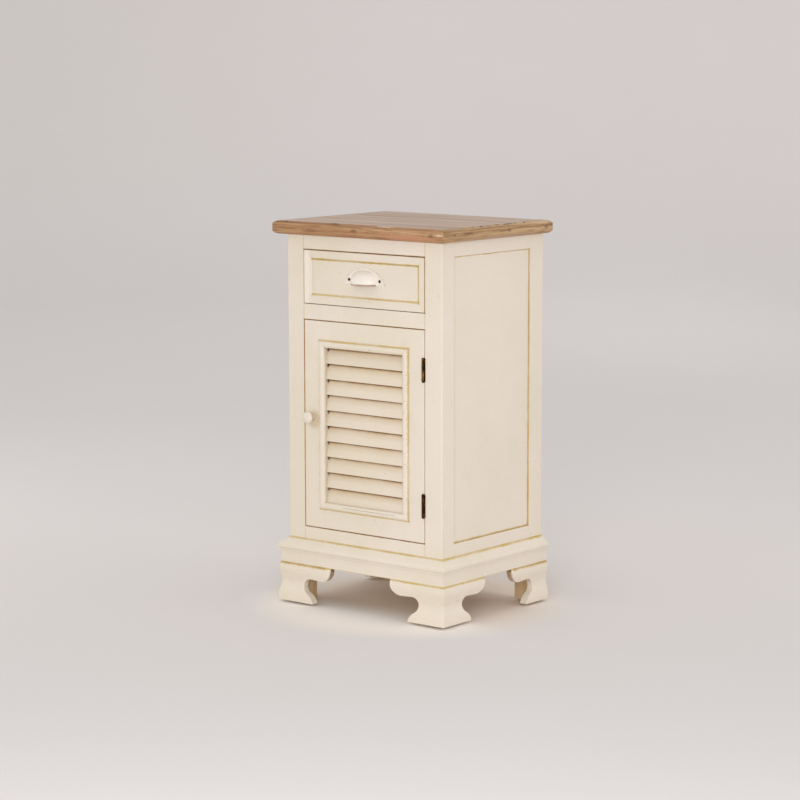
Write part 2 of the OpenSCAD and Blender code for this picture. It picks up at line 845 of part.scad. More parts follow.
// The hollow in the hinge stile for each barrel, its leaf and its screws.
module hinge_let_in() {
    past = knuckle_clear + pin_button_t + pin_button_space;
    for (z = hinge_zs) {
        translate([hinge_x, hinge_y, z - past])
            cylinder(h = hinge_len + 2 * past, r = knuckle_r + knuckle_clear);
        slab([leaf_half - leaf_t, face_y - cut, z], [leaf_half + cut, face_y + leaf_w, z + hinge_len]);
        hinge_door_shanks(z);
    }
}

module door_stile_left() {
    color(cream) difference() {
        slab([-leaf_half, face_y, leaf_z0], [-light_x, door_back_y, leaf_z1]);
        translate([knob_x, 0, knob_z]) rod_y(face_y - cut, door_back_y + cut, knob_screw_r + pin_clear);
    }
}

module door_stile_right() {
    color(cream) difference() {
        slab([light_x, face_y, leaf_z0], [leaf_half, door_back_y, leaf_z1]);
        hinge_let_in();
    }
}

module door_top_rail() {
    color(cream)
    slab([-light_x, face_y, light_z1], [light_x, door_back_y, leaf_z1]);
}

module door_bottom_rail() {
    color(cream)
    slab([-light_x, face_y, leaf_z0], [light_x, door_back_y, light_z0]);
}

// One slat, seen end on in (y, z): its lower front corner is at the origin and its top leans back.
module slat_outline() {
    polygon([
        [0, 0],
        [slat_w * sin(slat_lean), slat_w * cos(slat_lean)],
        [slat_w * sin(slat_lean) + slat_t * cos(slat_lean), slat_w * cos(slat_lean) - slat_skew],
        [slat_t * cos(slat_lean), -slat_skew]]);
}

module louvre_slats() {
    color(cream) for (i = [0 : slat_count - 1]) {
        run_x(-light_x, light_x)
            translate([face_y + slat_setback, light_z0 + slat_clear + slat_skew + i * slat_pitch])
            slat_outline();
    }
}

// Half-round bead with a lip that stands in the opening: x runs in from its outer edge, y is
// the height above the door's face.
module bead_outline() {
    intersection() {
        translate([bead_w / 2, bead_h - bead_r]) circle(bead_r);
        square([bead_w, 2 * bead_h]);
    }
    lip_x = door_frame_w - bead_margin;
    translate([lip_x, -bead_lip_d]) square([bead_w - lip_x, bead_lip_d + bead_h / 3]);
}

// A mitred bead along the lower edge of a rectangle w wide and h high, centred on the origin
// in (x, z), standing forward of the door's face.
module bead_strip(w, h) {
    intersection() {
        translate([0, face_y, 0]) run_x(-w / 2, w / 2) translate([0, -h / 2])
            rotate(90) bead_outline();
        run_y(face_y - bead_h - cut, face_y + bead_lip_d + cut) polygon([
            [-w / 2, -h / 2], [w / 2, -h / 2], [w / 2 - bead_w, -h / 2 + bead_w],
            [-w / 2 + bead_w, -h / 2 + bead_w]]);
    }
}

module place_bead(turn) {
    w = 2 * bead_out_x;
    h = bead_z1 - bead_z0;
    upright = turn == 90 || turn == -90;
    translate([0, 0, (bead_z0 + bead_z1) / 2]) rotate([0, turn, 0])
        bead_strip(upright ? h : w, upright ? w : h);
}

module louvre_bead_bottom() { color(cream) place_bead(0); }
module louvre_bead_top() { color(cream) place_bead(180); }
module louvre_bead_left() { color(cream) place_bead(90); }
module louvre_bead_right() { color(cream) place_bead(-90); }

knob_rim_x = knob_r - knob_rim_r;
knob_dome_up = knob_rim_up - sqrt(pow(knob_dome_r - knob_rim_r, 2) - knob_rim_x * knob_rim_x);
knob_touch = [0, knob_dome_up]
    + [knob_rim_x, knob_rim_up - knob_dome_up] * knob_dome_r / (knob_dome_r - knob_rim_r);

// Half of the knob's outline: x is the radius, y the height above the door's face.
module knob_outline() {
    polygon([
        [0, 0], [knob_foot_r, 0], [knob_foot_r, knob_foot_t], [knob_neck_r, knob_neck_low],
        [knob_neck_r, knob_neck_high], [knob_rim_x, knob_rim_up], [0, knob_rim_up]]);
    translate([knob_rim_x, knob_rim_up]) circle(knob_rim_r);
    intersection() {
        translate([0, knob_dome_up]) circle(knob_dome_r);
        polygon([[0, knob_rim_up], [knob_rim_x, knob_rim_up], knob_touch,
            [knob_touch.x, knob_rim_up + knob_dome_r], [0, knob_rim_up + knob_dome_r]]);
    }
}

module door_knob() {
    color(cream) translate([knob_x, 0, knob_z]) difference() {
        translate([0, face_y, 0]) rotate([90, 0, 0]) rotate_extrude() knob_outline();
        rod_y(face_y - knob_hole_d, face_y + cut, knob_screw_r);
    }
}

module knob_screw() {
    color("silver") translate([knob_x, 0, knob_z]) {
        rod_y(face_y - knob_hole_d, door_back_y, knob_screw_r);
        rod_y(door_back_y, door_back_y + knob_screw_head_t, 2 * knob_screw_r);
    }
}

module catch_strike_plate() {
    color("silver")
    slab([catch_x - catch_w / 2 + strike_short, door_back_y, door_z1 - catch_h],
         [catch_x + catch_w / 2 - strike_short, door_back_y + strike_t, leaf_z1 - strike_drop]);
}

module magnetic_catch() {
    color("#e8e0d0")
    slab([catch_x - catch_w / 2, catch_y, door_z1 - catch_h],
         [catch_x + catch_w / 2, catch_y + catch_d, door_z1]);
}

// ---------------------------------------------------------------- drawer

module drawer_front() {
    color(cream) difference() {
        slab([-drawer_half, drawer_panel_y, drawer_z0 + drawer_gap],
             [drawer_half, drawer_box_y, drawer_z1 - drawer_gap]);
        slab([-drawer_half + drawer_side_t - bottom_groove_d, drawer_box_y - bottom_groove_d,
              drawer_bottom_z - groove_clear],
             [drawer_half - drawer_side_t + bottom_groove_d, drawer_box_y + cut,
              drawer_bottom_z + drawer_bottom_t + groove_clear]);
        cup_screw_shanks();
    }
}

// Moulding round the drawer front: x runs in from its outer edge, y is the height above the panel.
module moulding_outline() {
    polygon([
        [0, 0], [0, moulding_t], [moulding_flat, moulding_t], [moulding_w, moulding_edge], [moulding_w, 0]]);
}

// A mitred strip along the lower edge of a rectangle w wide and h high, centred on the origin
// in (x, z), standing forward of the drawer's panel.
module moulding_strip(w, h) {
    run = w / 2 - mitre_hairline / 2;
    intersection() {
        translate([0, drawer_panel_y, 0]) run_x(-w / 2, w / 2) translate([0, -h / 2])
            rotate(90) moulding_outline();
        run_y(drawer_panel_y - moulding_t - cut, drawer_panel_y + cut) polygon([
            [-run, -h / 2], [run, -h / 2], [run - moulding_w, -h / 2 + moulding_w],
            [-run + moulding_w, -h / 2 + moulding_w]]);
    }
}

module drawer_front_moulding() {
    w = 2 * drawer_half;
    h = drawer_opening_h - 2 * drawer_gap;
    color(cream) translate([0, 0, (drawer_z0 + drawer_z1) / 2]) {
        moulding_strip(w, h);
        rotate([0, 180, 0]) moulding_strip(w, h);
        rotate([0, 90, 0]) moulding_strip(h, w);
        rotate([0, -90, 0]) moulding_strip(h, w);
    }
}

module drawer_side(side) {
    on_side(side) difference() {
        slab([drawer_half - drawer_side_t, drawer_box_y, drawer_low_z],
             [drawer_half, drawer_end_y, drawer_low_z + drawer_side_h]);
        slab([drawer_half - drawer_side_t - cut, drawer_box_y - cut, drawer_bottom_z - groove_clear],
             [drawer_half - drawer_side_t + bottom_groove_d, drawer_end_y + cut,
              drawer_bottom_z + drawer_bottom_t + groove_clear]);
    }
}

module drawer_side_left() { color(bare_wood) drawer_side(-1); }
module drawer_side_right() { color(bare_wood) drawer_side(1); }

module drawer_back() {
    base = drawer_bottom_z + drawer_bottom_t + groove_clear;
    color(bare_wood)
    slab([-drawer_half + drawer_side_t, drawer_end_y - drawer_side_t, base],
         [drawer_half - drawer_side_t, drawer_end_y, base + drawer_back_h]);
}

module drawer_bottom() {
    half = drawer_half - drawer_side_t + bottom_groove_d - groove_clear;
    color(bare_wood)
    slab([-half, drawer_box_y - bottom_groove_d + groove_clear, drawer_bottom_z],
         [half, drawer_end_y, drawer_bottom_z + drawer_bottom_t]);
}

// ---------------------------------------------------------------- cup handle

// Outline that, turned about an upright axis behind the panel, sweeps the cup's surface.
module cup_outline(inset) {
    low = inset > 0 ? -cut : 0;
    translate([0, low]) square([cup_behind, cup_skirt + cup_reach - inset - low]);
    translate([0, low]) square([cup_r - inset, cup_skirt - low]);
    intersection() {
        translate([cup_behind, cup_skirt]) circle(cup_reach - inset);
        translate([0, cup_skirt]) square([cup_r, cup_r]);
    }
}

module cup_body(inset) {
    intersection() {
        translate([0, cup_behind, 0]) rotate_extrude() cup_outline(inset);
        slab([-cup_r, -cup_reach - cut, -2 * cut], [cup_r, inset > 0 ? cut : 0, cup_skirt + cup_reach]);
    }
}

flange_r = (cup_flange_w * cup_flange_w / 4 + cup_flange_h * cup_flange_h) / (2 * cup_flange_h);

// The half-moon plate that lies on the drawer's panel.
module cup_flange() {
    run_y(-cup_t, 0) intersection() {
        translate([0, cup_flange_h - flange_r]) circle(flange_r, $fn = 96);
        translate([-cup_flange_w, 0]) square([2 * cup_flange_w, cup_flange_h + cut]);
    }
}

module cup_handle() {
    color("#f2e9dc") translate([0, drawer_panel_y, cup_z]) difference() {
        union() {
            cup_flange();
            cup_body(0);
        }
        cup_body(cup_t);
        for (side = [-1, 1]) {
            translate([side * cup_screw_span / 2, 0, cup_screw_up]) rod_y(-cup_t - cut, cut, cup_screw_r);
        }
    }
}

// The shanks of the handle's screws, from the flange's face into the drawer front.
module cup_screw_shanks() {
    for (side = [-1, 1]) {
        translate([side * cup_screw_span / 2, drawer_panel_y, cup_z + cup_screw_up])
            rod_y(-cup_t, cup_screw_len - cup_t, cup_screw_r);
    }
}

module cup_handle_screws() {
    dome_r = 2 * cup_head_r;
    dome_h = dome_r - sqrt(dome_r * dome_r - cup_head_r * cup_head_r);
    color("#2a2019") {
        cup_screw_shanks();
        for (side = [-1, 1]) {
            translate([side * cup_screw_span / 2, drawer_panel_y - cup_t, cup_z + cup_screw_up])
            rotate([90, 0, 0]) rotate_extrude() {
                square([cup_head_r, cup_head_rim]);
                intersection() {
                    translate([0, cup_head_rim + dome_h - dome_r]) circle(dome_r);
                    translate([0, cup_head_rim]) square([cup_head_r, dome_h]);
                }
            }
        }
    }
}

top_panel();
top_lipping_front();
top_lipping_back();
top_lipping_left();
top_lipping_right();
post_front_left();
post_front_right();
post_rear_left();
post_rear_right();
front_top_rail();
front_mid_rail();
front_bottom_rail();
side_top_rail_left();
side_top_rail_right();
side_bottom_rail_left();
side_bottom_rail_right();
side_panel_left();
side_panel_right();
back_panel();
cupboard_floor();
dust_board();
drawer_runners();
plinth_front();
plinth_back();
plinth_left();
plinth_right();
foot_front_left();
foot_front_right();
foot_rear_left();
foot_rear_right();
foot_glue_blocks();
foot_pads();
hinge_frame_leaf_lower();
hinge_frame_leaf_upper();
hinge_frame_screws();
magnetic_catch();
door_stile_left();
door_stile_right();
door_top_rail();
door_bottom_rail();
louvre_slats();
louvre_bead_top();
louvre_bead_bottom();
louvre_bead_left();
louvre_bead_right();
door_knob();
knob_screw();
hinge_door_leaf_lower();
hinge_door_leaf_upper();
hinge_door_screws();
hinge_pins();
catch_strike_plate();
drawer_front();
drawer_front_moulding();
drawer_side_left();
drawer_side_right();
drawer_back();
drawer_bottom();
cup_handle();
cup_handle_screws();
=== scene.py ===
"""Looks of the bedside pot cupboard: its paint, woods and metals, its small fittings, and the studio.

Lengths are in metres in the model's frame: the front faces -Y, up is +Z, the hinges are at +X.
Colours are written as sRGB numbers from 0 to 255.
"""

import json
import math

import bmesh
import bpy
from mathutils import Matrix, Vector

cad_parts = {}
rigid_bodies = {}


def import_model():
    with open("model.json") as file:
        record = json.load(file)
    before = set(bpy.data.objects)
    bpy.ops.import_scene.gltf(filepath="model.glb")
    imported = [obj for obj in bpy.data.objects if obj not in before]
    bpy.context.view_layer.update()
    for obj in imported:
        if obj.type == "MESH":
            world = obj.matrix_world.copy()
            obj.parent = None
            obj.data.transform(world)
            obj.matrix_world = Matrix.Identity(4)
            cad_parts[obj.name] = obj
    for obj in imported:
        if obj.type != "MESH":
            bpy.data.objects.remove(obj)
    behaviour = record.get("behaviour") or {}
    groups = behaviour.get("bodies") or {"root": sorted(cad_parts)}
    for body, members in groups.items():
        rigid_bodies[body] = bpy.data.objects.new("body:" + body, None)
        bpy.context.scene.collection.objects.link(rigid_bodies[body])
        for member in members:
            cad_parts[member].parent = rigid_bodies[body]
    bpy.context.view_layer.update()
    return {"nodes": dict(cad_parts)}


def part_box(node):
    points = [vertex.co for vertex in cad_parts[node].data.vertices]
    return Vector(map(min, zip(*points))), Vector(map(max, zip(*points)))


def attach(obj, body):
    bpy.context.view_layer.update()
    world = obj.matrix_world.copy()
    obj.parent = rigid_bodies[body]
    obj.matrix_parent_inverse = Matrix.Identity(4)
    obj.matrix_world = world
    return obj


MM = 0.001

# ------------------------------------------------------------------ the frame and its sizes

for leftover in list(bpy.data.objects):
    bpy.data.objects.remove(leftover)
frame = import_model()
nodes = frame["nodes"]


def low(node):
    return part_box(node)[0]


def high(node):
    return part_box(node)[1]


HALF_W = high("post_front_right").x
OPEN_HALF = high("front_mid_rail").x
FACE_Y = low("front_mid_rail").y
CASE_Z = low("front_bottom_rail").z
DOOR_Z = (high("front_bottom_rail").z, low("front_mid_rail").z)
DRAWER_Z = (high("front_mid_rail").z, low("front_top_rail").z)
TOP_Z = high("front_top_rail").z
TOP_UP = high("top_panel").z
PANEL_Y = (high("post_front_right").y, low("post_rear_right").y)
PANEL_Z = (high("side_bottom_rail_right").z, low("side_top_rail_right").z)
PLINTH_Z = low("plinth_front").z
BAND_UP = (23 * MM, 28 * MM)
BAND_Z = [PLINTH_Z + up for up in BAND_UP]
LIGHT_HALF = high("door_top_rail").x
BEAD_HALF = high("louvre_bead_top").x
BEAD_Z = (low("louvre_bead_bottom").z, high("louvre_bead_top").z)
BEAD_W = 14 * MM
DRAWER_HALF = high("drawer_front").x
FRONT_Z = (low("drawer_front").z, high("drawer_front").z)
MOULDING_W = 17.5 * MM
DRAWER_PANEL_Y = low("drawer_front").y
SEAM_HALF = high("top_panel").x
SEAM_Y = high("top_panel").y
CUP_SCREW_X = 38 * MM
CUP_SCREW = (CUP_SCREW_X, (low("cup_handle_screws").z + high("cup_handle_screws").z) / 2)
CUP_HALF = high("cup_handle").x
CUP_Z = (low("cup_handle").z, high("cup_handle").z)
KNOB = (low("door_knob") + high("door_knob")) / 2
GAP = OPEN_HALF - DRAWER_HALF
SLATS = 10
SLAT_LIP_UP = 1.3 * MM
SLAT_END_OVER = 2.5 * MM
SLAT_LIP_Z = low("louvre_slats").z + SLAT_LIP_UP
SLAT_PITCH = (high("louvre_slats").z - SLAT_LIP_Z - SLAT_END_OVER) / SLATS

# ------------------------------------------------------------------ colours

PAINT_PINK = (234, 223, 209)
PAINT_YELLOW = (229, 219, 200)
PAINT_THIN = (240, 230, 214)
OFF_WHITE = (241, 234, 224)
OCHRE = (202, 171, 90)
UMBER = (112, 74, 44)
GAP_RED_BROWN = (186, 126, 74)
KNOT = (96, 64, 40)
BARE_CHIP = (150, 116, 80)
NEAR_BLACK = (24, 16, 12)
SEAM_DARK = (36, 22, 16)
BAND_STEP_SHADE = (152, 140, 122)
DARK_OCHRE = (196, 158, 78)
FOOT_BROWN = (104, 62, 34)
BARE_END = (160, 128, 88)
KNOB_SHADE = (196, 174, 136)
NECK_SHADE = (176, 150, 112)
LIT_STRIP_HIGHLIGHT = (243, 234, 222)
LIP_BROWN = (136, 80, 40)


def srgb(colour):
    """Linear RGBA of an sRGB colour."""
    def line(v):
        v /= 255
        return v / 12.92 if v <= 0.04045 else ((v + 0.055) / 1.055) ** 2.4
    return (*[line(v) for v in colour], 1.0)


# ------------------------------------------------------------------ building materials

class Shader:
    """The node tree of one material. Each step makes a node and returns its output socket."""

    def __init__(self, name, roughness=0.5, metallic=0.0, specular=0.5):
        self.material = bpy.data.materials.new(name)
        self.material.use_nodes = True
        self.tree = self.material.node_tree
        self.tree.nodes.clear()
        self.surface = self.node("ShaderNodeBsdfPrincipled")
        self.surface.inputs["Metallic"].default_value = metallic
        self.surface.inputs["Specular IOR Level"].default_value = specular
        output = self.node("ShaderNodeOutputMaterial")
        self.tree.links.new(self.surface.outputs[0], output.inputs["Surface"])
        coordinates = self.node("ShaderNodeTexCoord")
        self.place = coordinates.outputs["Object"]
        self.x, self.y, self.z = self.split(self.place)
        self.normal_y = self.split(coordinates.outputs["Normal"])[1]
        self.colour = srgb(PAINT_PINK)
        self.rough = roughness
        self.relief = []

    def node(self, kind, **settings):
        made = self.tree.nodes.new(kind)
        for key, value in settings.items():
            setattr(made, key, value)
        return made

    def put(self, socket, value):
        if isinstance(value, bpy.types.NodeSocket):
            self.tree.links.new(value, socket)
        else:
            socket.default_value = value

    def split(self, vector):
        made = self.node("ShaderNodeSeparateXYZ")
        self.put(made.inputs[0], vector)
        return made.outputs

    def math(self, operation, a, b=0.0, c=0.0):
        made = self.node("ShaderNodeMath", operation=operation)
        for socket, value in zip(made.inputs, (a, b, c)):
            self.put(socket, value)
        return made.outputs[0]

    def add(self, a, b):
        return self.math("ADD", a, b)

    def times(self, a, b):
        return self.math("MULTIPLY", a, b)

    def size(self, a):
        return self.math("ABSOLUTE", a)

    def most(self, a, b):
        return self.math("MAXIMUM", a, b)

    def least(self, a, b):
        return self.math("MINIMUM", a, b)

    def step(self, value, start, end):
        """0 up to start, 1 from end on, smooth between them. start may be the larger."""
        made = self.node("ShaderNodeMapRange", interpolation_type="SMOOTHSTEP")
        for socket, v in zip(made.inputs, (value, start, end, 0.0, 1.0)):
            self.put(socket, v)
        return made.outputs[0]

    def noise(self, scale, detail=2.0, rough=0.5, seed=0.0, warp=0.0):
        """Noise with about `scale` blobs to the metre, given once or for each axis."""
        scales = scale if isinstance(scale, tuple) else (scale, scale, scale)
        mapping = self.node("ShaderNodeMapping")
        self.put(mapping.inputs["Vector"], self.place)
        mapping.inputs["Scale"].default_value = scales
        mapping.inputs["Location"].default_value = (seed, 1.7 * seed, -0.6 * seed)
        made = self.node("ShaderNodeTexNoise")
        self.put(made.inputs["Vector"], mapping.outputs[0])
        made.inputs["Scale"].default_value = 1.0
        made.inputs["Detail"].default_value = detail
        made.inputs["Roughness"].default_value = rough
        made.inputs["Distortion"].default_value = warp
        return made.outputs[0]

    def mix(self, share, a, b):
        """Colour a where share is 0, colour b where it is 1."""
        made = self.node("ShaderNodeMix", data_type="RGBA")
        self.put(made.inputs[0], share)
        self.put(made.inputs[6], a if isinstance(a, bpy.types.NodeSocket) or len(a) == 4 else srgb(a))
        self.put(made.inputs[7], b if isinstance(b, bpy.types.NodeSocket) or len(b) == 4 else srgb(b))
        return made.outputs[2]

    def tint(self, share, colour):
        """Lays a colour over what is there."""
        self.colour = self.mix(share, self.colour, colour)

    def beyond(self, v, ends):
        """How far v lies outside a range, and below 0 inside it."""
        middle, half = (ends[0] + ends[1]) / 2, (ends[1] - ends[0]) / 2
        return self.add(self.size(self.add(v, -middle)), -half)

    def outline(self, a, b, a_range, b_range):
        """Distance to the outline of a rectangle drawn in the coordinates a and b."""
        return self.size(self.most(self.beyond(a, a_range), self.beyond(b, b_range)))

    def sides(self, a, b, a_range, b_range):
        """Distances to the four sides of such a rectangle: high b, high a, low b, low a."""
        across, along = self.beyond(a, a_range), self.beyond(b, b_range)
        return [self.most(self.level(b, b_range[1]), across), self.most(self.level(a, a_range[1]), along),
                self.most(self.level(b, b_range[0]), across), self.most(self.level(a, a_range[0]), along)]

    def level(self, v, at):
        """Distance to a plane across one axis."""
        return self.size(self.add(v, -at))

    def spot(self, a, b, a_at, b_at, stretch=1.0):
        """Distance to a point in the coordinates a and b, with b drawn out by stretch."""
        da = self.add(a, -a_at)
        db = self.times(self.add(b, -b_at), 1 / stretch)
        return self.math("SQRT", self.add(self.times(da, da), self.times(db, db)))

    def raise_by(self, height, depth):
        """Adds relief: height runs from 0 to 1 and stands for depth metres."""
        self.relief.append((height, depth))

    def done(self):
        self.put(self.surface.inputs["Base Color"], self.colour)
        self.put(self.surface.inputs["Roughness"], self.rough)
        normal = None
        for height, depth in self.relief:
            bump = self.node("ShaderNodeBump")
            bump.inputs["Distance"].default_value = depth
            self.put(bump.inputs["Height"], height)
            if normal is not None:
                self.put(bump.inputs["Normal"], normal)
            normal = bump.outputs[0]
        if normal is not None:
            self.put(self.surface.inputs["Normal"], normal)
        return self.material


def along_axis(axis, along, across):
    """Noise scales that draw a pattern out along one axis."""
    return tuple(along if axis == a else across for a in "XYZ")


class Paint(Shader):
    """Satin paint brushed along one axis, with wax and painted shade laid over it line by line.

    A worn coat is the one on the eased edges, where it is rubbed thin and chipped."""

    def __init__(self, name, along, worn=False, pink=PAINT_PINK, yellow=PAINT_YELLOW):
        super().__init__(name + ("_edge" if worn else ""))
        self.ragged = self.noise(90, 4, 0.6, seed=3)
        self.patchy = self.step(self.noise(11, 3, 0.6, seed=8), 0.36, 0.6)
        brush = self.noise(along_axis(along, 14, 1100), 3, 0.6, seed=1)
        # Random tone, plus painted shade: towards -X, the left of the front, the paint is mixed yellower and
        # a little darker, for how the light falls there.
        cloud = self.add(self.noise(7.5, 4, 0.62, seed=5), self.times(self.x, -0.4))
        self.colour = self.mix(self.step(cloud, 0.34, 0.68), pink, yellow)
        fine = self.noise(along_axis(along, 60, 420), 3, 0.7, seed=2)
        self.tint(self.times(self.step(fine, 0.5, 0.8), 0.11), OCHRE)
        self.tint(self.times(self.step(fine, 0.5, 0.2), 0.3), PAINT_THIN)
        speck = self.step(self.noise(170, 3, 0.6, seed=9), 0.7, 0.74)
        self.tint(self.times(speck, 0.35), BARE_CHIP)
        if worn:
            self.tint(0.35, PAINT_THIN)
            chips = self.step(self.noise(along_axis(along, 110, 330), 4, 0.7, seed=6), 0.65, 0.69)
            self.tint(self.times(chips, 0.6), BARE_CHIP)
        gloss = self.noise(60, 3, 0.6, seed=4)
        self.rough = self.add(0.36, self.times(gloss, 0.24))
        self.raise_by(brush, 0.035 * MM)
        self.raise_by(self.noise(25, 2, 0.5, seed=7), 0.16 * MM)

    def wax_and_shade(self, distance, width, strength, colour=OCHRE, ragged=0.5):
        """A line of wax, fading out at width from it; where it follows a crease, gap or lip it also stands
        for painted shade.
        """
        rag = self.times(self.add(self.ragged, -0.5), 2 * ragged * width)
        line = self.step(self.add(distance, rag), width, width * 0.25)
        patch = self.add(0.62, self.times(self.patchy, 0.38))
        share = self.times(self.times(line, patch), strength)
        self.tint(share, colour)
        self.rough = self.add(self.rough, self.times(share, 0.15))

    def only(self, where, distance):
        """A distance that holds where the mask is 1 and is out of reach where it is 0."""
        return self.add(distance, self.add(1.0, self.times(where, -1.0)))


def front_face(s, depth=1.0 * MM):
    return s.step(s.y, FACE_Y + 2 * depth, FACE_Y + depth)


def gap_wax_and_shade(s):
    """Wax and painted shade in the gaps round drawer and door and on the lips beside them, side by side; each
    side is painted as dark as its gap falls.
    """
    half = OPEN_HALF - GAP / 2
    shallow = front_face(s, 4.5 * MM)
    marks = (
        ((DRAWER_Z[0] + GAP / 2, DRAWER_Z[1] - GAP / 2),
         ((2.0, 0.9, GAP_RED_BROWN), (1.7, 0.7, GAP_RED_BROWN), (1.5, 0.1, OCHRE), (1.4, 0.1, OCHRE))),
        ((DOOR_Z[0] + GAP / 2, DOOR_Z[1] - GAP / 2),
         ((1.7, 0.8, GAP_RED_BROWN), (1.4, 0.15, OCHRE), (1.8, 0.85, GAP_RED_BROWN), (1.8, 0.9, GAP_RED_BROWN))))
    for z_range, sides in marks:
        distances = s.sides(s.x, s.z, (-half, half), z_range)
        for distance, (width, strength, colour) in zip(distances, sides):
            s.wax_and_shade(s.only(shallow, distance), 1.5 * width * MM, 0.45 * strength)
            s.wax_and_shade(s.only(shallow, distance), width * MM, strength, colour, ragged=0.3)


def case_paint(along, worn=False):
    s = Paint("cream_paint.case_" + along, along, worn)
    s.wax_and_shade(s.only(front_face(s, 0.5 * MM), s.level(s.size(s.x), OPEN_HALF)), 1.1 * MM, 0.75)
    at_side = s.step(s.size(s.x), HALF_W - 1.5 * MM, HALF_W - 0.5 * MM)
    side_joint = s.least(s.level(s.y, PANEL_Y[0]), s.level(s.y, PANEL_Y[1]))
    s.wax_and_shade(s.only(at_side, side_joint), 0.8 * MM, 0.25)
    s.wax_and_shade(s.level(s.z, CASE_Z), 2.2 * MM, 0.7)
    recessed = s.times(s.step(s.size(s.x), HALF_W - 0.2 * MM, HALF_W - 0.8 * MM),
                       s.step(s.size(s.x), HALF_W - 8 * MM, HALF_W - 6 * MM))
    top, rear, bottom, front = s.sides(s.y, s.z, PANEL_Y, PANEL_Z)
    for distance, strength in ((top, 0.4), (rear, 0.8), (bottom, 0.9), (front, 0.25)):
        s.wax_and_shade(s.only(recessed, distance), 1.2 * MM, strength)
    gap_wax_and_shade(s)
    return s.done()


def side_panel_paint(worn=False):
    s = Paint("cream_paint.side_panel", "Z", worn)
    outer = s.step(s.size(s.x), HALF_W - 6 * MM, HALF_W - 5 * MM)
    top, rear, bottom, front = s.sides(s.y, s.z, PANEL_Y, PANEL_Z)
    # Wax round the recessed panel, with painted shade: the top line also stands for the rail's shadow on the
    # panel, and the umber over the top, rear and bottom lines darkens the recess corners.
    marks = ((top, 3.8, 0.95), (rear, 3.4, 0.62), (bottom, 4.2, 0.95), (front, 1.6, 0.08))
    for distance, width, strength in marks:
        s.wax_and_shade(s.only(outer, distance), width * MM, strength)
    s.wax_and_shade(s.only(outer, s.least(s.least(bottom, top), rear)), 2.0 * MM, 0.3, UMBER)
    return s.done()


def plinth_paint(along, worn=False):
    s = Paint("cream_paint.plinth_" + along, along, worn)
    s.wax_and_shade(s.level(s.z, CASE_Z), (3.4 if along == "X" else 4.2) * MM, 0.95)
    # Painted shade: thin grey lines along the two edges of the band's small step.
    for z in BAND_Z:
        s.wax_and_shade(s.level(s.z, z), 0.9 * MM, 0.25 if along == "X" else 0.1, BAND_STEP_SHADE, ragged=0.2)
    s.wax_and_shade(s.level(s.z, PLINTH_Z), 2.0 * MM, 0.6)
    return s.done()


def foot_paint(worn=False):
    s = Paint("cream_paint.foot", "X", worn)
    s.wax_and_shade(s.level(s.z, PLINTH_Z), 4.2 * MM, 0.95)
    heavier = s.most(s.step(s.x, -0.05, -0.09), s.step(s.y, 0.0, 0.06))
    s.wax_and_shade(s.only(heavier, s.level(s.z, PLINTH_Z)), 6.5 * MM, 0.8, DARK_OCHRE)
    s.wax_and_shade(s.only(heavier, s.level(s.z, PLINTH_Z)), 2.6 * MM, 0.4, UMBER)
    out = s.most(s.add(s.size(s.x), -HALF_W), s.add(FACE_Y, s.times(s.y, -1.0)))
    inner = s.step(s.add(out, s.times(s.ragged, 3 * MM)), 14 * MM, 12 * MM)
    end = s.times(inner, s.step(s.z, PLINTH_Z - 46 * MM, PLINTH_Z - 10 * MM))
    s.tint(s.times(end, 0.85), BARE_END)
    # Brown at the top of the wings' inner end faces: wax and painted shade under the plinth.
    s.wax_and_shade(s.only(inner, s.level(s.z, PLINTH_Z)), 9 * MM, 0.85, FOOT_BROWN)
    return s.done()


def bead_wax(s, strength=1.0):
    on_face = front_face(s, 1.2 * MM)
    distances = s.sides(s.x, s.z, (-BEAD_HALF, BEAD_HALF), BEAD_Z)
    for distance, (width, share) in zip(distances, ((2.8, 0.85), (2.6, 0.8), (2.8, 0.75), (2.8, 0.95))):
        s.wax_and_shade(s.only(on_face, distance), width * MM, share * strength)


def door_paint(along, worn=False):
    s = Paint("cream_paint.door_" + along, along, worn)
    bead_wax(s)
    # Painted shadow of the knob on the stile, falling below it and to its right.
    around_knob = s.spot(s.x, s.z, KNOB.x + 5 * MM, KNOB.z - 5 * MM, 1.1)
    s.tint(s.times(s.times(s.step(around_knob, 22 * MM, 9 * MM), front_face(s)), 0.55), KNOB_SHADE)
    s.wax_and_shade(s.only(front_face(s, 0.5 * MM), s.level(s.size(s.x), LIGHT_HALF)), 0.6 * MM, 0.08)
    gap_wax_and_shade(s)
    return s.done()


def bead_paint(along, worn=False):
    s = Paint("cream_paint.bead_" + along, along, worn)
    bead_wax(s, 0.8)
    half = BEAD_HALF - BEAD_W
    inner = s.sides(s.x, s.z, (-half, half), (BEAD_Z[0] + BEAD_W, BEAD_Z[1] - BEAD_W))
    for distance, strength in zip(inner, (0.7, 0.6, 0.3, 0.1)):
        s.wax_and_shade(distance, 1.5 * MM, strength, (150, 112, 70))
    mark = s.spot(s.x, s.z, 19 * MM, BEAD_Z[1] - 9 * MM)
    s.tint(s.times(s.step(mark, 2.6 * MM, 1.2 * MM), 0.4), (176, 146, 138))
    wander = s.times(s.add(s.ragged, -0.5), 1.5 * MM)
    crack = s.most(s.level(s.add(s.z, wander), BEAD_Z[0] + 8.5 * MM), s.beyond(s.x, (-48 * MM, 82 * MM)))
    s.tint(s.times(s.step(crack, 0.8 * MM, 0.3 * MM), 0.6), (142, 132, 120))
    speck = s.times(s.step(s.noise(260, 3, 0.6, seed=12), 0.62, 0.67), s.step(s.x, half, half + 3 * MM))
    s.tint(s.times(speck, 0.45), (136, 104, 70))
    return s.done()


# Shade under each slat's lip: reach below it, strength and colour.
SLAT_BANDS = ((20 * MM, 0.3, (196, 158, 88)), (9 * MM, 0.56, (176, 130, 56)), (5.4 * MM, 0.97, (112, 70, 22)))
SLAT_NOTCH_SHADE = (50, 32, 18)


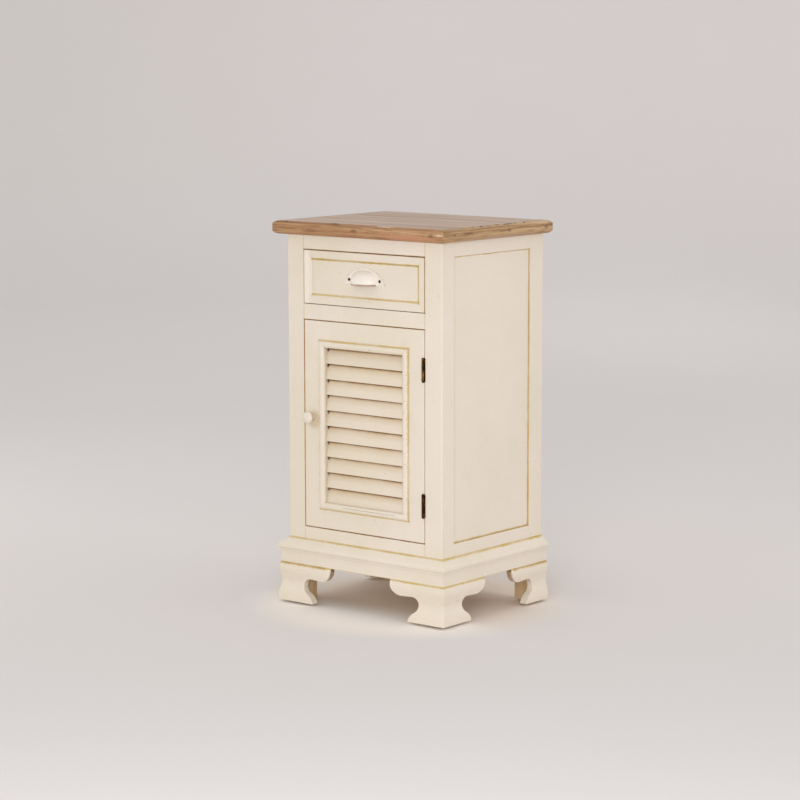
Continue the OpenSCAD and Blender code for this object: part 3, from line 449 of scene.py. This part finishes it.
def slat_paint(worn=False):
    s = Paint("cream_paint.slat", "X", worn, pink=(231, 219, 202), yellow=(228, 216, 195))
    above_lip = s.times(s.math("FRACT", s.times(s.add(s.z, -SLAT_LIP_Z), 1 / SLAT_PITCH)), SLAT_PITCH)
    below_next = s.add(SLAT_PITCH, s.times(above_lip, -1.0))
    set_back = s.times(s.step(s.y, FACE_Y + 6 * MM, FACE_Y + 7 * MM), s.step(s.normal_y, -0.1, -0.5))
    for reach, strength, colour in SLAT_BANDS:
        s.wax_and_shade(s.only(set_back, below_next), reach, strength, colour, ragged=0.1)
    # Painted shade: a dark notch at each slat's left end, just under the lip of the slat above.
    notch = s.spot(s.x, below_next, -LIGHT_HALF + 3 * MM, 4.5 * MM, 1.3)
    s.wax_and_shade(s.only(set_back, notch), 4.0 * MM, 0.9, SLAT_NOTCH_SHADE, ragged=0.2)
    s.wax_and_shade(s.level(s.x, LIGHT_HALF - 3 * MM), 2.2 * MM, 0.3, UMBER)
    return s.done()


def drawer_paint(along, worn=False):
    s = Paint("cream_paint.drawer_" + along, along, worn)
    half = DRAWER_HALF - MOULDING_W
    distances = s.sides(s.x, s.z, (-half, half), (FRONT_Z[0] + MOULDING_W, FRONT_Z[1] - MOULDING_W))
    for distance, (width, strength) in zip(distances, ((3.4, 0.95), (3.9, 0.95), (3.2, 0.8), (1.5, 0.05))):
        s.wax_and_shade(distance, width * MM, strength)
    s.wax_and_shade(s.least(distances[0], distances[1]), 1.4 * MM, 0.35, UMBER)
    # Painted highlight: the moulding's left strip slopes towards the light and is painted lighter.
    left = s.step(s.x, MOULDING_W - DRAWER_HALF, 7 * MM - DRAWER_HALF)
    s.tint(s.times(left, 0.8), LIT_STRIP_HIGHLIGHT)
    tall = CUP_Z[1] - CUP_Z[0]
    plate_edge = s.level(s.spot(s.z, s.x, CUP_Z[0], 0.0, CUP_HALF / tall), tall)
    specks = s.step(s.noise(420, 3, 0.6, seed=14), 0.55, 0.62)
    near_plate = s.times(s.step(plate_edge, 2.4 * MM, 0.6 * MM), s.step(s.z, CUP_Z[0] - 2 * MM, CUP_Z[0]))
    s.tint(s.times(s.times(near_plate, specks), 0.5), (170, 138, 98))
    gap_wax_and_shade(s)
    return s.done()


def knob_paint():
    s = Paint("knob_paint", "X", False, pink=(230, 221, 209), yellow=(230, 220, 205))
    # Painted shadow on the knob's neck.
    neck = s.step(s.y, KNOB.y, KNOB.y + 6 * MM)
    s.tint(s.times(neck, 0.6), NECK_SHADE)
    return s.done()


def handle_paint():
    s = Paint("handle_paint", "X", False, pink=OFF_WHITE, yellow=(240, 232, 218))
    # Brown along the cup's lower lip: wax and the painted shadow under the lip.
    lip = s.step(s.y, DRAWER_PANEL_Y - 3 * MM, DRAWER_PANEL_Y - 5 * MM)
    s.wax_and_shade(s.only(lip, s.level(s.z, CUP_Z[0])), 4.2 * MM, 1.0, LIP_BROWN, ragged=0.1)
    for side in (-1, 1):
        round_screw = s.spot(s.x, s.z, side * CUP_SCREW[0], CUP_SCREW[1])
        s.wax_and_shade(round_screw, 6 * MM, 0.25, UMBER)
    specks = s.step(s.noise(420, 3, 0.6, seed=14), 0.58, 0.64)
    rim = s.step(s.y, DRAWER_PANEL_Y - 4 * MM, DRAWER_PANEL_Y - 1 * MM)
    s.tint(s.times(s.times(rim, specks), 0.5), (160, 126, 84))
    return s.done()


class Wood(Shader):
    """Planed wood with its grain along one axis: broad bands, fine streaks and open pores."""

    def __init__(self, name, along, dark, middle, light, bands=55, pores=0.6, seed=0.0, specular=0.3):
        super().__init__(name, specular=specular)
        broad = self.noise(along_axis(along, 2.2, bands), 5, 0.62, seed=11 + seed, warp=0.12)
        fine = self.noise(along_axis(along, 16, 700), 3, 0.65, seed=13 + seed)
        pore = self.noise(along_axis(along, 45, 1500), 2, 0.6, seed=17 + seed)
        self.colour = self.mix(self.step(broad, 0.32, 0.5), dark, middle)
        self.tint(self.step(broad, 0.5, 0.68), light)
        self.tint(self.times(self.step(fine, 0.5, 0.75), 0.45), dark)
        self.tint(self.times(self.step(fine, 0.5, 0.25), 0.35), light)
        open_pore = self.step(pore, 0.6, 0.68)
        self.tint(self.times(open_pore, pores), dark)
        self.rough = self.add(0.5, self.times(broad, 0.2))
        self.raise_by(self.add(1.0, self.times(open_pore, -1.0)), 0.06 * MM)
        self.raise_by(fine, 0.03 * MM)


def mark(s, axis, at, height, half_length, half_height, colour, strength):
    """A ragged oval on the lipping, at so many mm along an axis and above the top's underside."""
    a = s.times(s.add(axis, -at * MM), 1 / (half_length * MM))
    b = s.times(s.add(s.z, -TOP_Z - height * MM), 1 / (half_height * MM))
    reach = s.math("SQRT", s.add(s.times(a, a), s.times(b, b)))
    reach = s.add(reach, s.times(s.noise(160, 3, 0.6, seed=24), 1.2))
    s.tint(s.times(s.step(reach, 1.75, 1.15), strength), colour)


def seam_dashes(s, strength):
    """Broken dark filler along the seam between the top's panel and its lipping."""
    seam = s.outline(s.x, s.y, (-SEAM_HALF, SEAM_HALF), (-SEAM_Y, SEAM_Y))
    top = s.step(s.z, TOP_UP - 2 * MM, TOP_UP - 1 * MM)
    s.tint(s.times(s.times(s.step(seam, 1.6 * MM, 0.4 * MM), top), 0.35), (150, 118, 88))
    share = s.step(s.noise((60, 60, 1), 2, 0.5, seed=21), 0.57, 0.62)
    line = s.step(seam, 1.2 * MM, 0.6 * MM)
    dark = s.times(s.times(line, top), s.times(share, strength))
    s.tint(dark, SEAM_DARK)


def top_panel_wood():
    s = Wood("limed_top_wood", "X", (168, 140, 122), (196, 172, 154), (213, 193, 178), bands=75, pores=0.6,
             specular=0.15)
    cloud = s.noise(5, 3, 0.6, seed=31)
    s.tint(s.times(s.step(cloud, 0.45, 0.7), 0.3), (200, 184, 174))
    seam_dashes(s, 0.95)
    s.rough = s.add(0.55, s.times(cloud, 0.15))
    return s.done()


SIDE_DASHES = ((-75, 4, 0.8), (-48, 6, 1.0), (-28, 5, 0.6), (1, 8, 0.6), (34, 15, 0.9), (58, 6, 0.5),
               (88, 5, 1.0), (101, 3, 0.6))
FRONT_MARKS = ((-116, 10, 24, 3.5, (118, 82, 54), 0.45), (130, 7, 80, 6.5, (202, 144, 112), 0.6),
               (-4, 15, 8, 3.5, KNOT, 0.55), (183, 14, 7, 4, KNOT, 0.55),
               (-56, 25.3, 16, 0.65, SEAM_DARK, 1.0), (-182, 25.3, 5, 0.7, SEAM_DARK, 0.9),
               (66, 25, 24, 0.9, (218, 196, 172), 0.7), (203, 15.5, 9, 2.5, (226, 200, 176), 0.6))
SIDE_MARKS = ((0, 4, 150, 5, (184, 156, 130), 0.5), (-99, 16, 15, 2.4, (112, 76, 44), 0.55),
              (-141, 15, 4, 3, KNOT, 0.5), (29, 15, 7, 3.5, KNOT, 0.55), (148, 14, 6, 4, KNOT, 0.55),
              (140, 22, 26, 2.5, (212, 184, 150), 0.5),
              *[(at, 25.5, half, 0.75, SEAM_DARK, strength) for at, half, strength in SIDE_DASHES])


def lipping_wood(along, marks):
    dark, middle, light = (118, 78, 48), (172, 128, 90), (200, 163, 124)
    if along == "Y":
        dark, middle, light = (124, 90, 58), (184, 148, 108), (210, 180, 142)
    s = Wood("lipping_wood." + along, along, dark, middle, light, bands=120, pores=0.6, seed=2)
    streak = s.noise(along_axis(along, 16, 330), 4, 0.65, seed=35, warp=0.6)
    s.tint(s.times(s.step(streak, 0.54, 0.66), 0.55), (108, 74, 44))
    s.tint(s.times(s.step(streak, 0.44, 0.34), 0.35), (206, 174, 132))
    axis = s.x if along == "X" else s.y
    for at, height, half_length, half_height, colour, strength in marks:
        mark(s, axis, at, height, half_length, half_height, colour, strength)
    mitre = s.level(s.add(s.size(s.x), s.times(s.size(s.y), -1.0)), SEAM_HALF - SEAM_Y)
    s.tint(s.times(s.step(mitre, 0.7 * MM, 0.2 * MM), 0.45), (116, 84, 58))
    seam_dashes(s, 0.95)
    return s.done()


def bare_wood(along):
    s = Wood("bare_wood." + along, along, (186, 148, 106), (212, 180, 138), (226, 200, 162), bands=130,
             pores=0.4, seed=4, specular=0.2)
    slow = s.noise(along_axis(along, 1.4, 9), 3, 0.5, seed=27)
    s.tint(s.times(s.step(slow, 0.5, 0.66), 0.3), (196, 160, 116))
    s.rough = 0.68
    return s.done()


def glue_block_wood():
    s = Wood("glue_block_wood", "Z", (178, 146, 108), (204, 174, 134), (218, 192, 156), bands=60, pores=0.4,
             seed=6)
    s.rough = 0.72
    return s.done()


def aged_brass():
    s = Shader("aged_brass", metallic=0.85)
    patina = s.noise(160, 4, 0.65, seed=41)
    s.colour = s.mix(s.step(patina, 0.4, 0.7), (36, 19, 9), (78, 46, 20))
    rubbed = s.step(s.noise((300, 300, 40), 3, 0.6, seed=43), 0.56, 0.68)
    s.tint(s.times(rubbed, 0.7), (186, 134, 58))
    s.rough = s.add(0.32, s.times(patina, 0.3))
    s.raise_by(patina, 0.05 * MM)
    return s.done()


def dark_screws():
    s = Shader("dark_screws", metallic=0.6)
    rough = s.noise(900, 3, 0.6, seed=45)
    s.colour = s.mix(rough, NEAR_BLACK, (52, 40, 32))
    across = s.level(s.size(s.x), CUP_SCREW[0])
    # The slot is painted near black for the shade inside it, with a bump for its depth.
    slot = s.step(s.level(s.z, CUP_SCREW[1]), 0.5 * MM, 0.3 * MM)
    head = s.step(across, 2.3 * MM, 2.0 * MM)
    s.tint(s.times(slot, head), (8, 6, 5))
    s.rough = s.add(0.35, s.times(rough, 0.25))
    s.raise_by(s.add(1.0, s.times(s.times(slot, head), -1.0)), 0.5 * MM)
    return s.done()


def plated_steel():
    s = Shader("plated_steel", metallic=1.0)
    brushed = s.noise((90, 90, 900), 3, 0.6, seed=47)
    s.colour = s.mix(brushed, (168, 168, 164), (206, 204, 198))
    s.rough = s.add(0.24, s.times(brushed, 0.2))
    s.raise_by(brushed, 0.02 * MM)
    return s.done()


def catch_plastic():
    s = Shader("catch_plastic")
    grain = s.noise(1400, 3, 0.6, seed=49)
    s.colour = s.mix(s.noise(60, 3, 0.6, seed=50), (224, 214, 196), (232, 224, 208))
    s.rough = s.add(0.45, s.times(grain, 0.2))
    s.raise_by(grain, 0.03 * MM)
    return s.done()


def felt():
    s = Shader("felt", roughness=0.95, specular=0.1)
    fibre = s.noise(2200, 4, 0.75, seed=51)
    s.colour = s.mix(fibre, (44, 24, 12), (76, 48, 26))
    s.surface.inputs["Sheen Weight"].default_value = 0.3
    s.raise_by(fibre, 0.3 * MM)
    return s.done()


# ------------------------------------------------------------------ dressing the CAD nodes

WELD_REACH = 0.004 * MM
SHARP_ANGLE = math.radians(32)
EASE_THIN = 0.15 * MM
EASE_PLINTH = 0.2 * MM
EASE_DOOR = 0.25 * MM
EASE_CASE = 0.3 * MM
EASE_FELT = 0.4 * MM
EASE_BOARD = 0.5 * MM
EASE_FOOT = 0.7 * MM
EASE_BLOCK = 0.8 * MM
EASE_SLAT = 1.2 * MM


def node_group(name, build):
    """A geometry node group with a mesh in and a mesh out; build(group, mesh socket) returns the result."""
    group = bpy.data.node_groups.new(name, "GeometryNodeTree")
    group.interface.new_socket("Geometry", in_out="INPUT", socket_type="NodeSocketGeometry")
    group.interface.new_socket("Geometry", in_out="OUTPUT", socket_type="NodeSocketGeometry")
    start = group.nodes.new("NodeGroupInput")
    end = group.nodes.new("NodeGroupOutput")
    group.links.new(build(group, start.outputs[0]), end.inputs[0])
    return group


def weld_and_smooth(group, mesh):
    """Joins the split corners of the imported mesh and shades it by the angle between faces."""
    weld = group.nodes.new("GeometryNodeMergeByDistance")
    weld.inputs["Distance"].default_value = WELD_REACH
    group.links.new(mesh, weld.inputs[0])
    angle = group.nodes.new("GeometryNodeInputMeshEdgeAngle")
    sharp = group.nodes.new("FunctionNodeCompare")
    group.links.new(angle.outputs[0], sharp.inputs[0])
    sharp.inputs[1].default_value = SHARP_ANGLE
    normal = group.nodes.new("GeometryNodeSetMeshNormal")
    normal.mode = "SHARPNESS"
    normal.inputs["Remove Custom"].default_value = True
    group.links.new(weld.outputs[0], normal.inputs["Mesh"])
    group.links.new(sharp.outputs[0], normal.inputs["Edge Sharpness"])
    return normal.outputs[0]


WELD = node_group("weld_and_smooth", weld_and_smooth)


def ease_edges(obj, width, segments=2, edge_slot=0):
    """Rounds an object's edges by modifiers, so that they catch the light."""
    obj.modifiers.new("weld", "NODES").node_group = WELD
    if width > 0:
        bevel = obj.modifiers.new("ease", "BEVEL")
        bevel.width = width
        bevel.segments = segments
        bevel.limit_method = "ANGLE"
        bevel.angle_limit = SHARP_ANGLE
        bevel.use_clamp_overlap = False
        bevel.material = edge_slot
    shade = obj.modifiers.new("shade", "WEIGHTED_NORMAL")
    shade.keep_sharp = True


def dress(names, material, width=0.0, edge=None, segments=2):
    """Gives CAD nodes a material, eased edges, and the edges a coat of their own."""
    for name in names:
        obj = nodes[name]
        obj.data.materials.clear()
        obj.data.materials.append(material)
        if edge is not None:
            obj.data.materials.append(edge)
        ease_edges(obj, width, segments, 0 if edge is None else 1)


def dress_painted():
    post = ["post_front_left", "post_front_right", "post_rear_left", "post_rear_right"]
    front_rail = ["front_top_rail", "front_mid_rail", "front_bottom_rail"]
    side_rail = [f"side_{place}_rail_{side}" for place in ("top", "bottom") for side in ("left", "right")]
    dress(post, case_paint("Z"), EASE_CASE, case_paint("Z", True))
    dress(front_rail, case_paint("X"), EASE_CASE, case_paint("X", True))
    dress(side_rail, case_paint("Y"), EASE_CASE, case_paint("Y", True))
    dress(["side_panel_left", "side_panel_right"], side_panel_paint(), EASE_CASE)
    dress(["plinth_front"], plinth_paint("X"), EASE_PLINTH, plinth_paint("X", True))
    dress(["plinth_left", "plinth_right"], plinth_paint("Y"), EASE_PLINTH, plinth_paint("Y", True))
    feet = ["foot_front_left", "foot_front_right", "foot_rear_left", "foot_rear_right"]
    dress(feet, foot_paint(), EASE_FOOT, foot_paint(True))
    dress(["door_stile_left", "door_stile_right"], door_paint("Z"), EASE_DOOR, door_paint("Z", True))
    dress(["door_top_rail", "door_bottom_rail"], door_paint("X"), EASE_DOOR, door_paint("X", True))
    dress(["louvre_bead_top", "louvre_bead_bottom"], bead_paint("X"), EASE_DOOR, bead_paint("X", True))
    dress(["louvre_bead_left", "louvre_bead_right"], bead_paint("Z"), EASE_DOOR, bead_paint("Z", True))
    dress(["louvre_slats"], slat_paint(), EASE_SLAT, slat_paint(True), segments=3)
    dress(["drawer_front"], drawer_paint("X"), EASE_DOOR, drawer_paint("X", True))
    dress(["drawer_front_moulding"], drawer_paint("X"), EASE_THIN, drawer_paint("X", True))


def dress_wood():
    dress(["top_panel"], top_panel_wood(), EASE_CASE)
    front = lipping_wood("X", FRONT_MARKS)
    side = lipping_wood("Y", SIDE_MARKS)
    dress(["top_lipping_front", "top_lipping_back"], front, EASE_CASE)
    dress(["top_lipping_left", "top_lipping_right"], side, EASE_CASE)
    across = ["cupboard_floor", "dust_board", "plinth_back", "drawer_back", "drawer_bottom"]
    dress(across, bare_wood("X"), EASE_BOARD)
    dress(["drawer_side_left", "drawer_side_right", "drawer_runners"], bare_wood("Y"), EASE_BOARD)
    dress(["back_panel"], bare_wood("Z"), EASE_BOARD)
    dress(["foot_glue_blocks"], glue_block_wood(), EASE_BLOCK)


def dress_fittings():
    leaves = [f"hinge_{part}_leaf_{place}" for part in ("frame", "door") for place in ("lower", "upper")]
    brass = aged_brass()
    dress(leaves, brass, EASE_DOOR)
    dress(["hinge_frame_screws", "hinge_door_screws", "hinge_pins"], brass)
    dress(["door_knob"], knob_paint())
    dress(["cup_handle"], handle_paint())
    dress(["cup_handle_screws"], dark_screws())
    steel = plated_steel()
    dress(["knob_screw", "catch_strike_plate"], steel, EASE_DOOR)
    dress(["magnetic_catch"], catch_plastic(), EASE_BLOCK)
    dress(["foot_pads"], felt(), EASE_FELT)


# ------------------------------------------------------------------ small pieces

NAIL_R = 2.4 * MM
NAIL_DOME = 0.5 * MM
NAIL_INSET = 7 * MM
NAIL_SPACING = 88 * MM
NAIL_SIDES = 20
NAIL_RINGS = ((1.0, 0.0), (1.0, 0.45), (0.88, 0.72), (0.6, 0.9), (0.3, 0.98))


def between(start, end, spacing):
    """Evenly spaced values from start to end, both included."""
    steps = max(1, round((end - start) / spacing))
    return [start + (end - start) * i / steps for i in range(steps + 1)]


def nail_head(work, x, z, back):
    """A domed head on a face that looks along +Y. Rings are radius and height, as shares."""
    rings = []
    for radius, height in NAIL_RINGS:
        rings.append([work.verts.new((x + NAIL_R * radius * math.cos(2 * math.pi * k / NAIL_SIDES),
                                      back + NAIL_DOME * height,
                                      z + NAIL_R * radius * math.sin(2 * math.pi * k / NAIL_SIDES)))
                      for k in range(NAIL_SIDES)])
    crown = work.verts.new((x, back + NAIL_DOME, z))
    for k in range(NAIL_SIDES):
        n = (k + 1) % NAIL_SIDES
        for outer, inner in zip(rings, rings[1:]):
            work.faces.new((outer[k], inner[k], inner[n], outer[n]))
        work.faces.new((rings[-1][k], crown, rings[-1][n]))


def back_panel_nails():
    """Nails round the back panel, along its two long edges and its two short ones."""
    lowest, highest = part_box("back_panel")
    x0, x1 = lowest.x + NAIL_INSET, highest.x - NAIL_INSET
    z0, z1 = lowest.z + NAIL_INSET, highest.z - NAIL_INSET
    work = bmesh.new()
    for z in between(z0, z1, NAIL_SPACING):
        nail_head(work, x0, z, highest.y)
        nail_head(work, x1, z, highest.y)
    for x in between(x0, x1, NAIL_SPACING)[1:-1]:
        nail_head(work, x, z0, highest.y)
        nail_head(work, x, z1, highest.y)
    bmesh.ops.recalc_face_normals(work, faces=work.faces)
    for face in work.faces:
        face.smooth = True
    mesh = bpy.data.meshes.new("back_panel_nails")
    work.to_mesh(mesh)
    work.free()
    mesh.materials.append(bpy.data.materials["plated_steel"])
    obj = bpy.data.objects.new("back_panel_nails", mesh)
    bpy.context.scene.collection.objects.link(obj)
    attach(obj, "carcass")


# ------------------------------------------------------------------ studio

CAMERA_AIM = Vector((0.0, 0.0095, 0.3969))
CAMERA_AZIMUTH = math.radians(39.069)
CAMERA_ELEVATION = math.radians(8.110)
CAMERA_ROLL = math.radians(-0.102)
CAMERA_DISTANCE = 5.1412
CAMERA_RIGHT = -0.03104
CAMERA_UP = 0.006887
CAMERA_LENS = 117.11


def camera():
    """The photograph's camera, fitted to the object's edges."""
    az, el = CAMERA_AZIMUTH, CAMERA_ELEVATION
    back = Vector((math.sin(az) * math.cos(el), -math.cos(az) * math.cos(el), math.sin(el)))
    right = Vector((math.cos(az), math.sin(az), 0))
    up = back.cross(right)
    data = bpy.data.cameras.new("camera")
    data.lens = CAMERA_LENS
    data.sensor_width = 36
    data.clip_start, data.clip_end = 0.1, 100
    obj = bpy.data.objects.new("camera", data)
    bpy.context.scene.collection.objects.link(obj)
    x = math.cos(CAMERA_ROLL) * right + math.sin(CAMERA_ROLL) * up
    y = math.cos(CAMERA_ROLL) * up - math.sin(CAMERA_ROLL) * right
    place = CAMERA_AIM + back * CAMERA_DISTANCE + right * CAMERA_RIGHT + up * CAMERA_UP
    turn = Matrix((x, y, back)).transposed()
    obj.matrix_world = Matrix.Translation(place) @ turn.to_4x4()
    bpy.context.scene.camera = obj


FLOOR_RADIUS = 6.0
WALL_RADIUS = 10.0
WALL_HEIGHT = 3.0
BOWL_SIDES = 96
BOWL_RINGS = 24


def backdrop_paint():
    s = Shader("backdrop", roughness=0.9, specular=0.1)
    out = s.math("SQRT", s.add(s.times(s.x, s.x), s.times(s.y, s.y)))
    right = s.add(s.times(s.x, math.cos(CAMERA_AZIMUTH)), s.times(s.y, math.sin(CAMERA_AZIMUTH)))
    behind = s.add(s.times(s.y, math.cos(CAMERA_AZIMUTH)), s.times(s.x, -math.sin(CAMERA_AZIMUTH)))
    # Painted light: the floor and wall are painted lighter far off and behind, darker on the left and towards
    # the camera, with a lighter patch behind on the right, for how the lamps light the studio.
    s.colour = s.mix(s.step(behind, -0.9, 0.6), (219, 215, 214), (231, 226, 225))
    s.tint(s.step(out, 0.8, 5.0), (239, 234, 234))
    s.tint(s.step(out, 6.0, 9.5), (249, 243, 242))
    s.tint(s.times(s.step(right, 0.3, -2.5), 0.5), (228, 225, 221))
    s.tint(s.times(s.step(s.spot(right, behind, 0.9, 5.2, 2.0), 1.3, 0.2), 0.7), (249, 244, 244))
    # Painted light: under and just in front of the cupboard the floor is painted warmer and paler, for light
    # bounced off the cream paint and a lighter shadow there.
    near = s.step(out, 0.36, 0.16)
    s.tint(s.times(near, 0.8), (249, 234, 217))
    s.tint(s.times(near, s.step(s.y, -0.06, -0.13)), (254, 250, 246))
    s.tint(s.step(behind, -1.6, -2.6), (210, 206, 205))
    s.tint(s.times(s.noise(3.0, 2, 0.5, seed=61), 0.04), (190, 184, 180))
    return s.done()


def backdrop():
    """A round floor that curves up into a wall, out of one mesh, so that no view shows an edge."""
    rings = [(0.0, 0.0), (1.5, 0.0), (3.0, 0.0), (FLOOR_RADIUS, 0.0)]
    for i in range(1, BOWL_RINGS + 1):
        a = math.pi / 2 * i / BOWL_RINGS
        rings.append((FLOOR_RADIUS + (WALL_RADIUS - FLOOR_RADIUS) * math.sin(a),
                      WALL_HEIGHT * (1 - math.cos(a))))
    mesh = bpy.data.meshes.new("backdrop")
    work = bmesh.new()
    centre = work.verts.new((0, 0, 0))
    loops = []
    for radius, height in rings[1:]:
        loops.append([work.verts.new((radius * math.cos(2 * math.pi * k / BOWL_SIDES),
                                      radius * math.sin(2 * math.pi * k / BOWL_SIDES), height))
                      for k in range(BOWL_SIDES)])
    for k in range(BOWL_SIDES):
        n = (k + 1) % BOWL_SIDES
        work.faces.new((centre, loops[0][k], loops[0][n]))
        for inner, outer in zip(loops, loops[1:]):
            work.faces.new((inner[k], outer[k], outer[n], inner[n]))
    for face in work.faces:
        face.smooth = True
    work.to_mesh(mesh)
    work.free()
    obj = bpy.data.objects.new("backdrop", mesh)
    bpy.context.scene.collection.objects.link(obj)
    mesh.materials.append(backdrop_paint())


WHITE = (255, 254, 253)
SKY_STRENGTH = 0.71
# Name, place, aim, width and power of each lamp.
LAMPS = (("key", (1.9, -2.7, 0.95), (0, 0, 0.3), 1.3, 33),
         ("low", (1.5, -2.6, 0.4), (0, 0, 0.1), 0.6, 7),
         ("left", (-2.6, -0.7, 0.55), (0, 0, 0), 0.8, 7),
         ("side", (3.2, 0.9, 1.3), (0, 0, 0.2), 2.0, 10),
         ("overhead", (0.3, -0.2, 3.6), (0, 0, 0), 3.0, 12))


def softbox(name, place, aim, width, power):
    data = bpy.data.lights.new(name, "AREA")
    data.shape = "DISK"
    data.size = width
    data.energy = power
    data.color = srgb(WHITE)[:3]
    obj = bpy.data.objects.new(name, data)
    bpy.context.scene.collection.objects.link(obj)
    obj.location = place
    obj.rotation_mode = "QUATERNION"
    obj.rotation_quaternion = (Vector(aim) - Vector(place)).to_track_quat("-Z", "Y")


def lights():
    world = bpy.data.worlds.new("studio")
    bpy.context.scene.world = world
    world.use_nodes = True
    sky = world.node_tree.nodes["Background"]
    sky.inputs["Color"].default_value = srgb(WHITE)
    sky.inputs["Strength"].default_value = SKY_STRENGTH
    for lamp in LAMPS:
        softbox(*lamp)


# ------------------------------------------------------------------ the scene

bpy.context.scene.view_settings.view_transform = "Standard"
camera()
backdrop()
lights()
dress_painted()
dress_wood()
dress_fittings()
back_panel_nails()
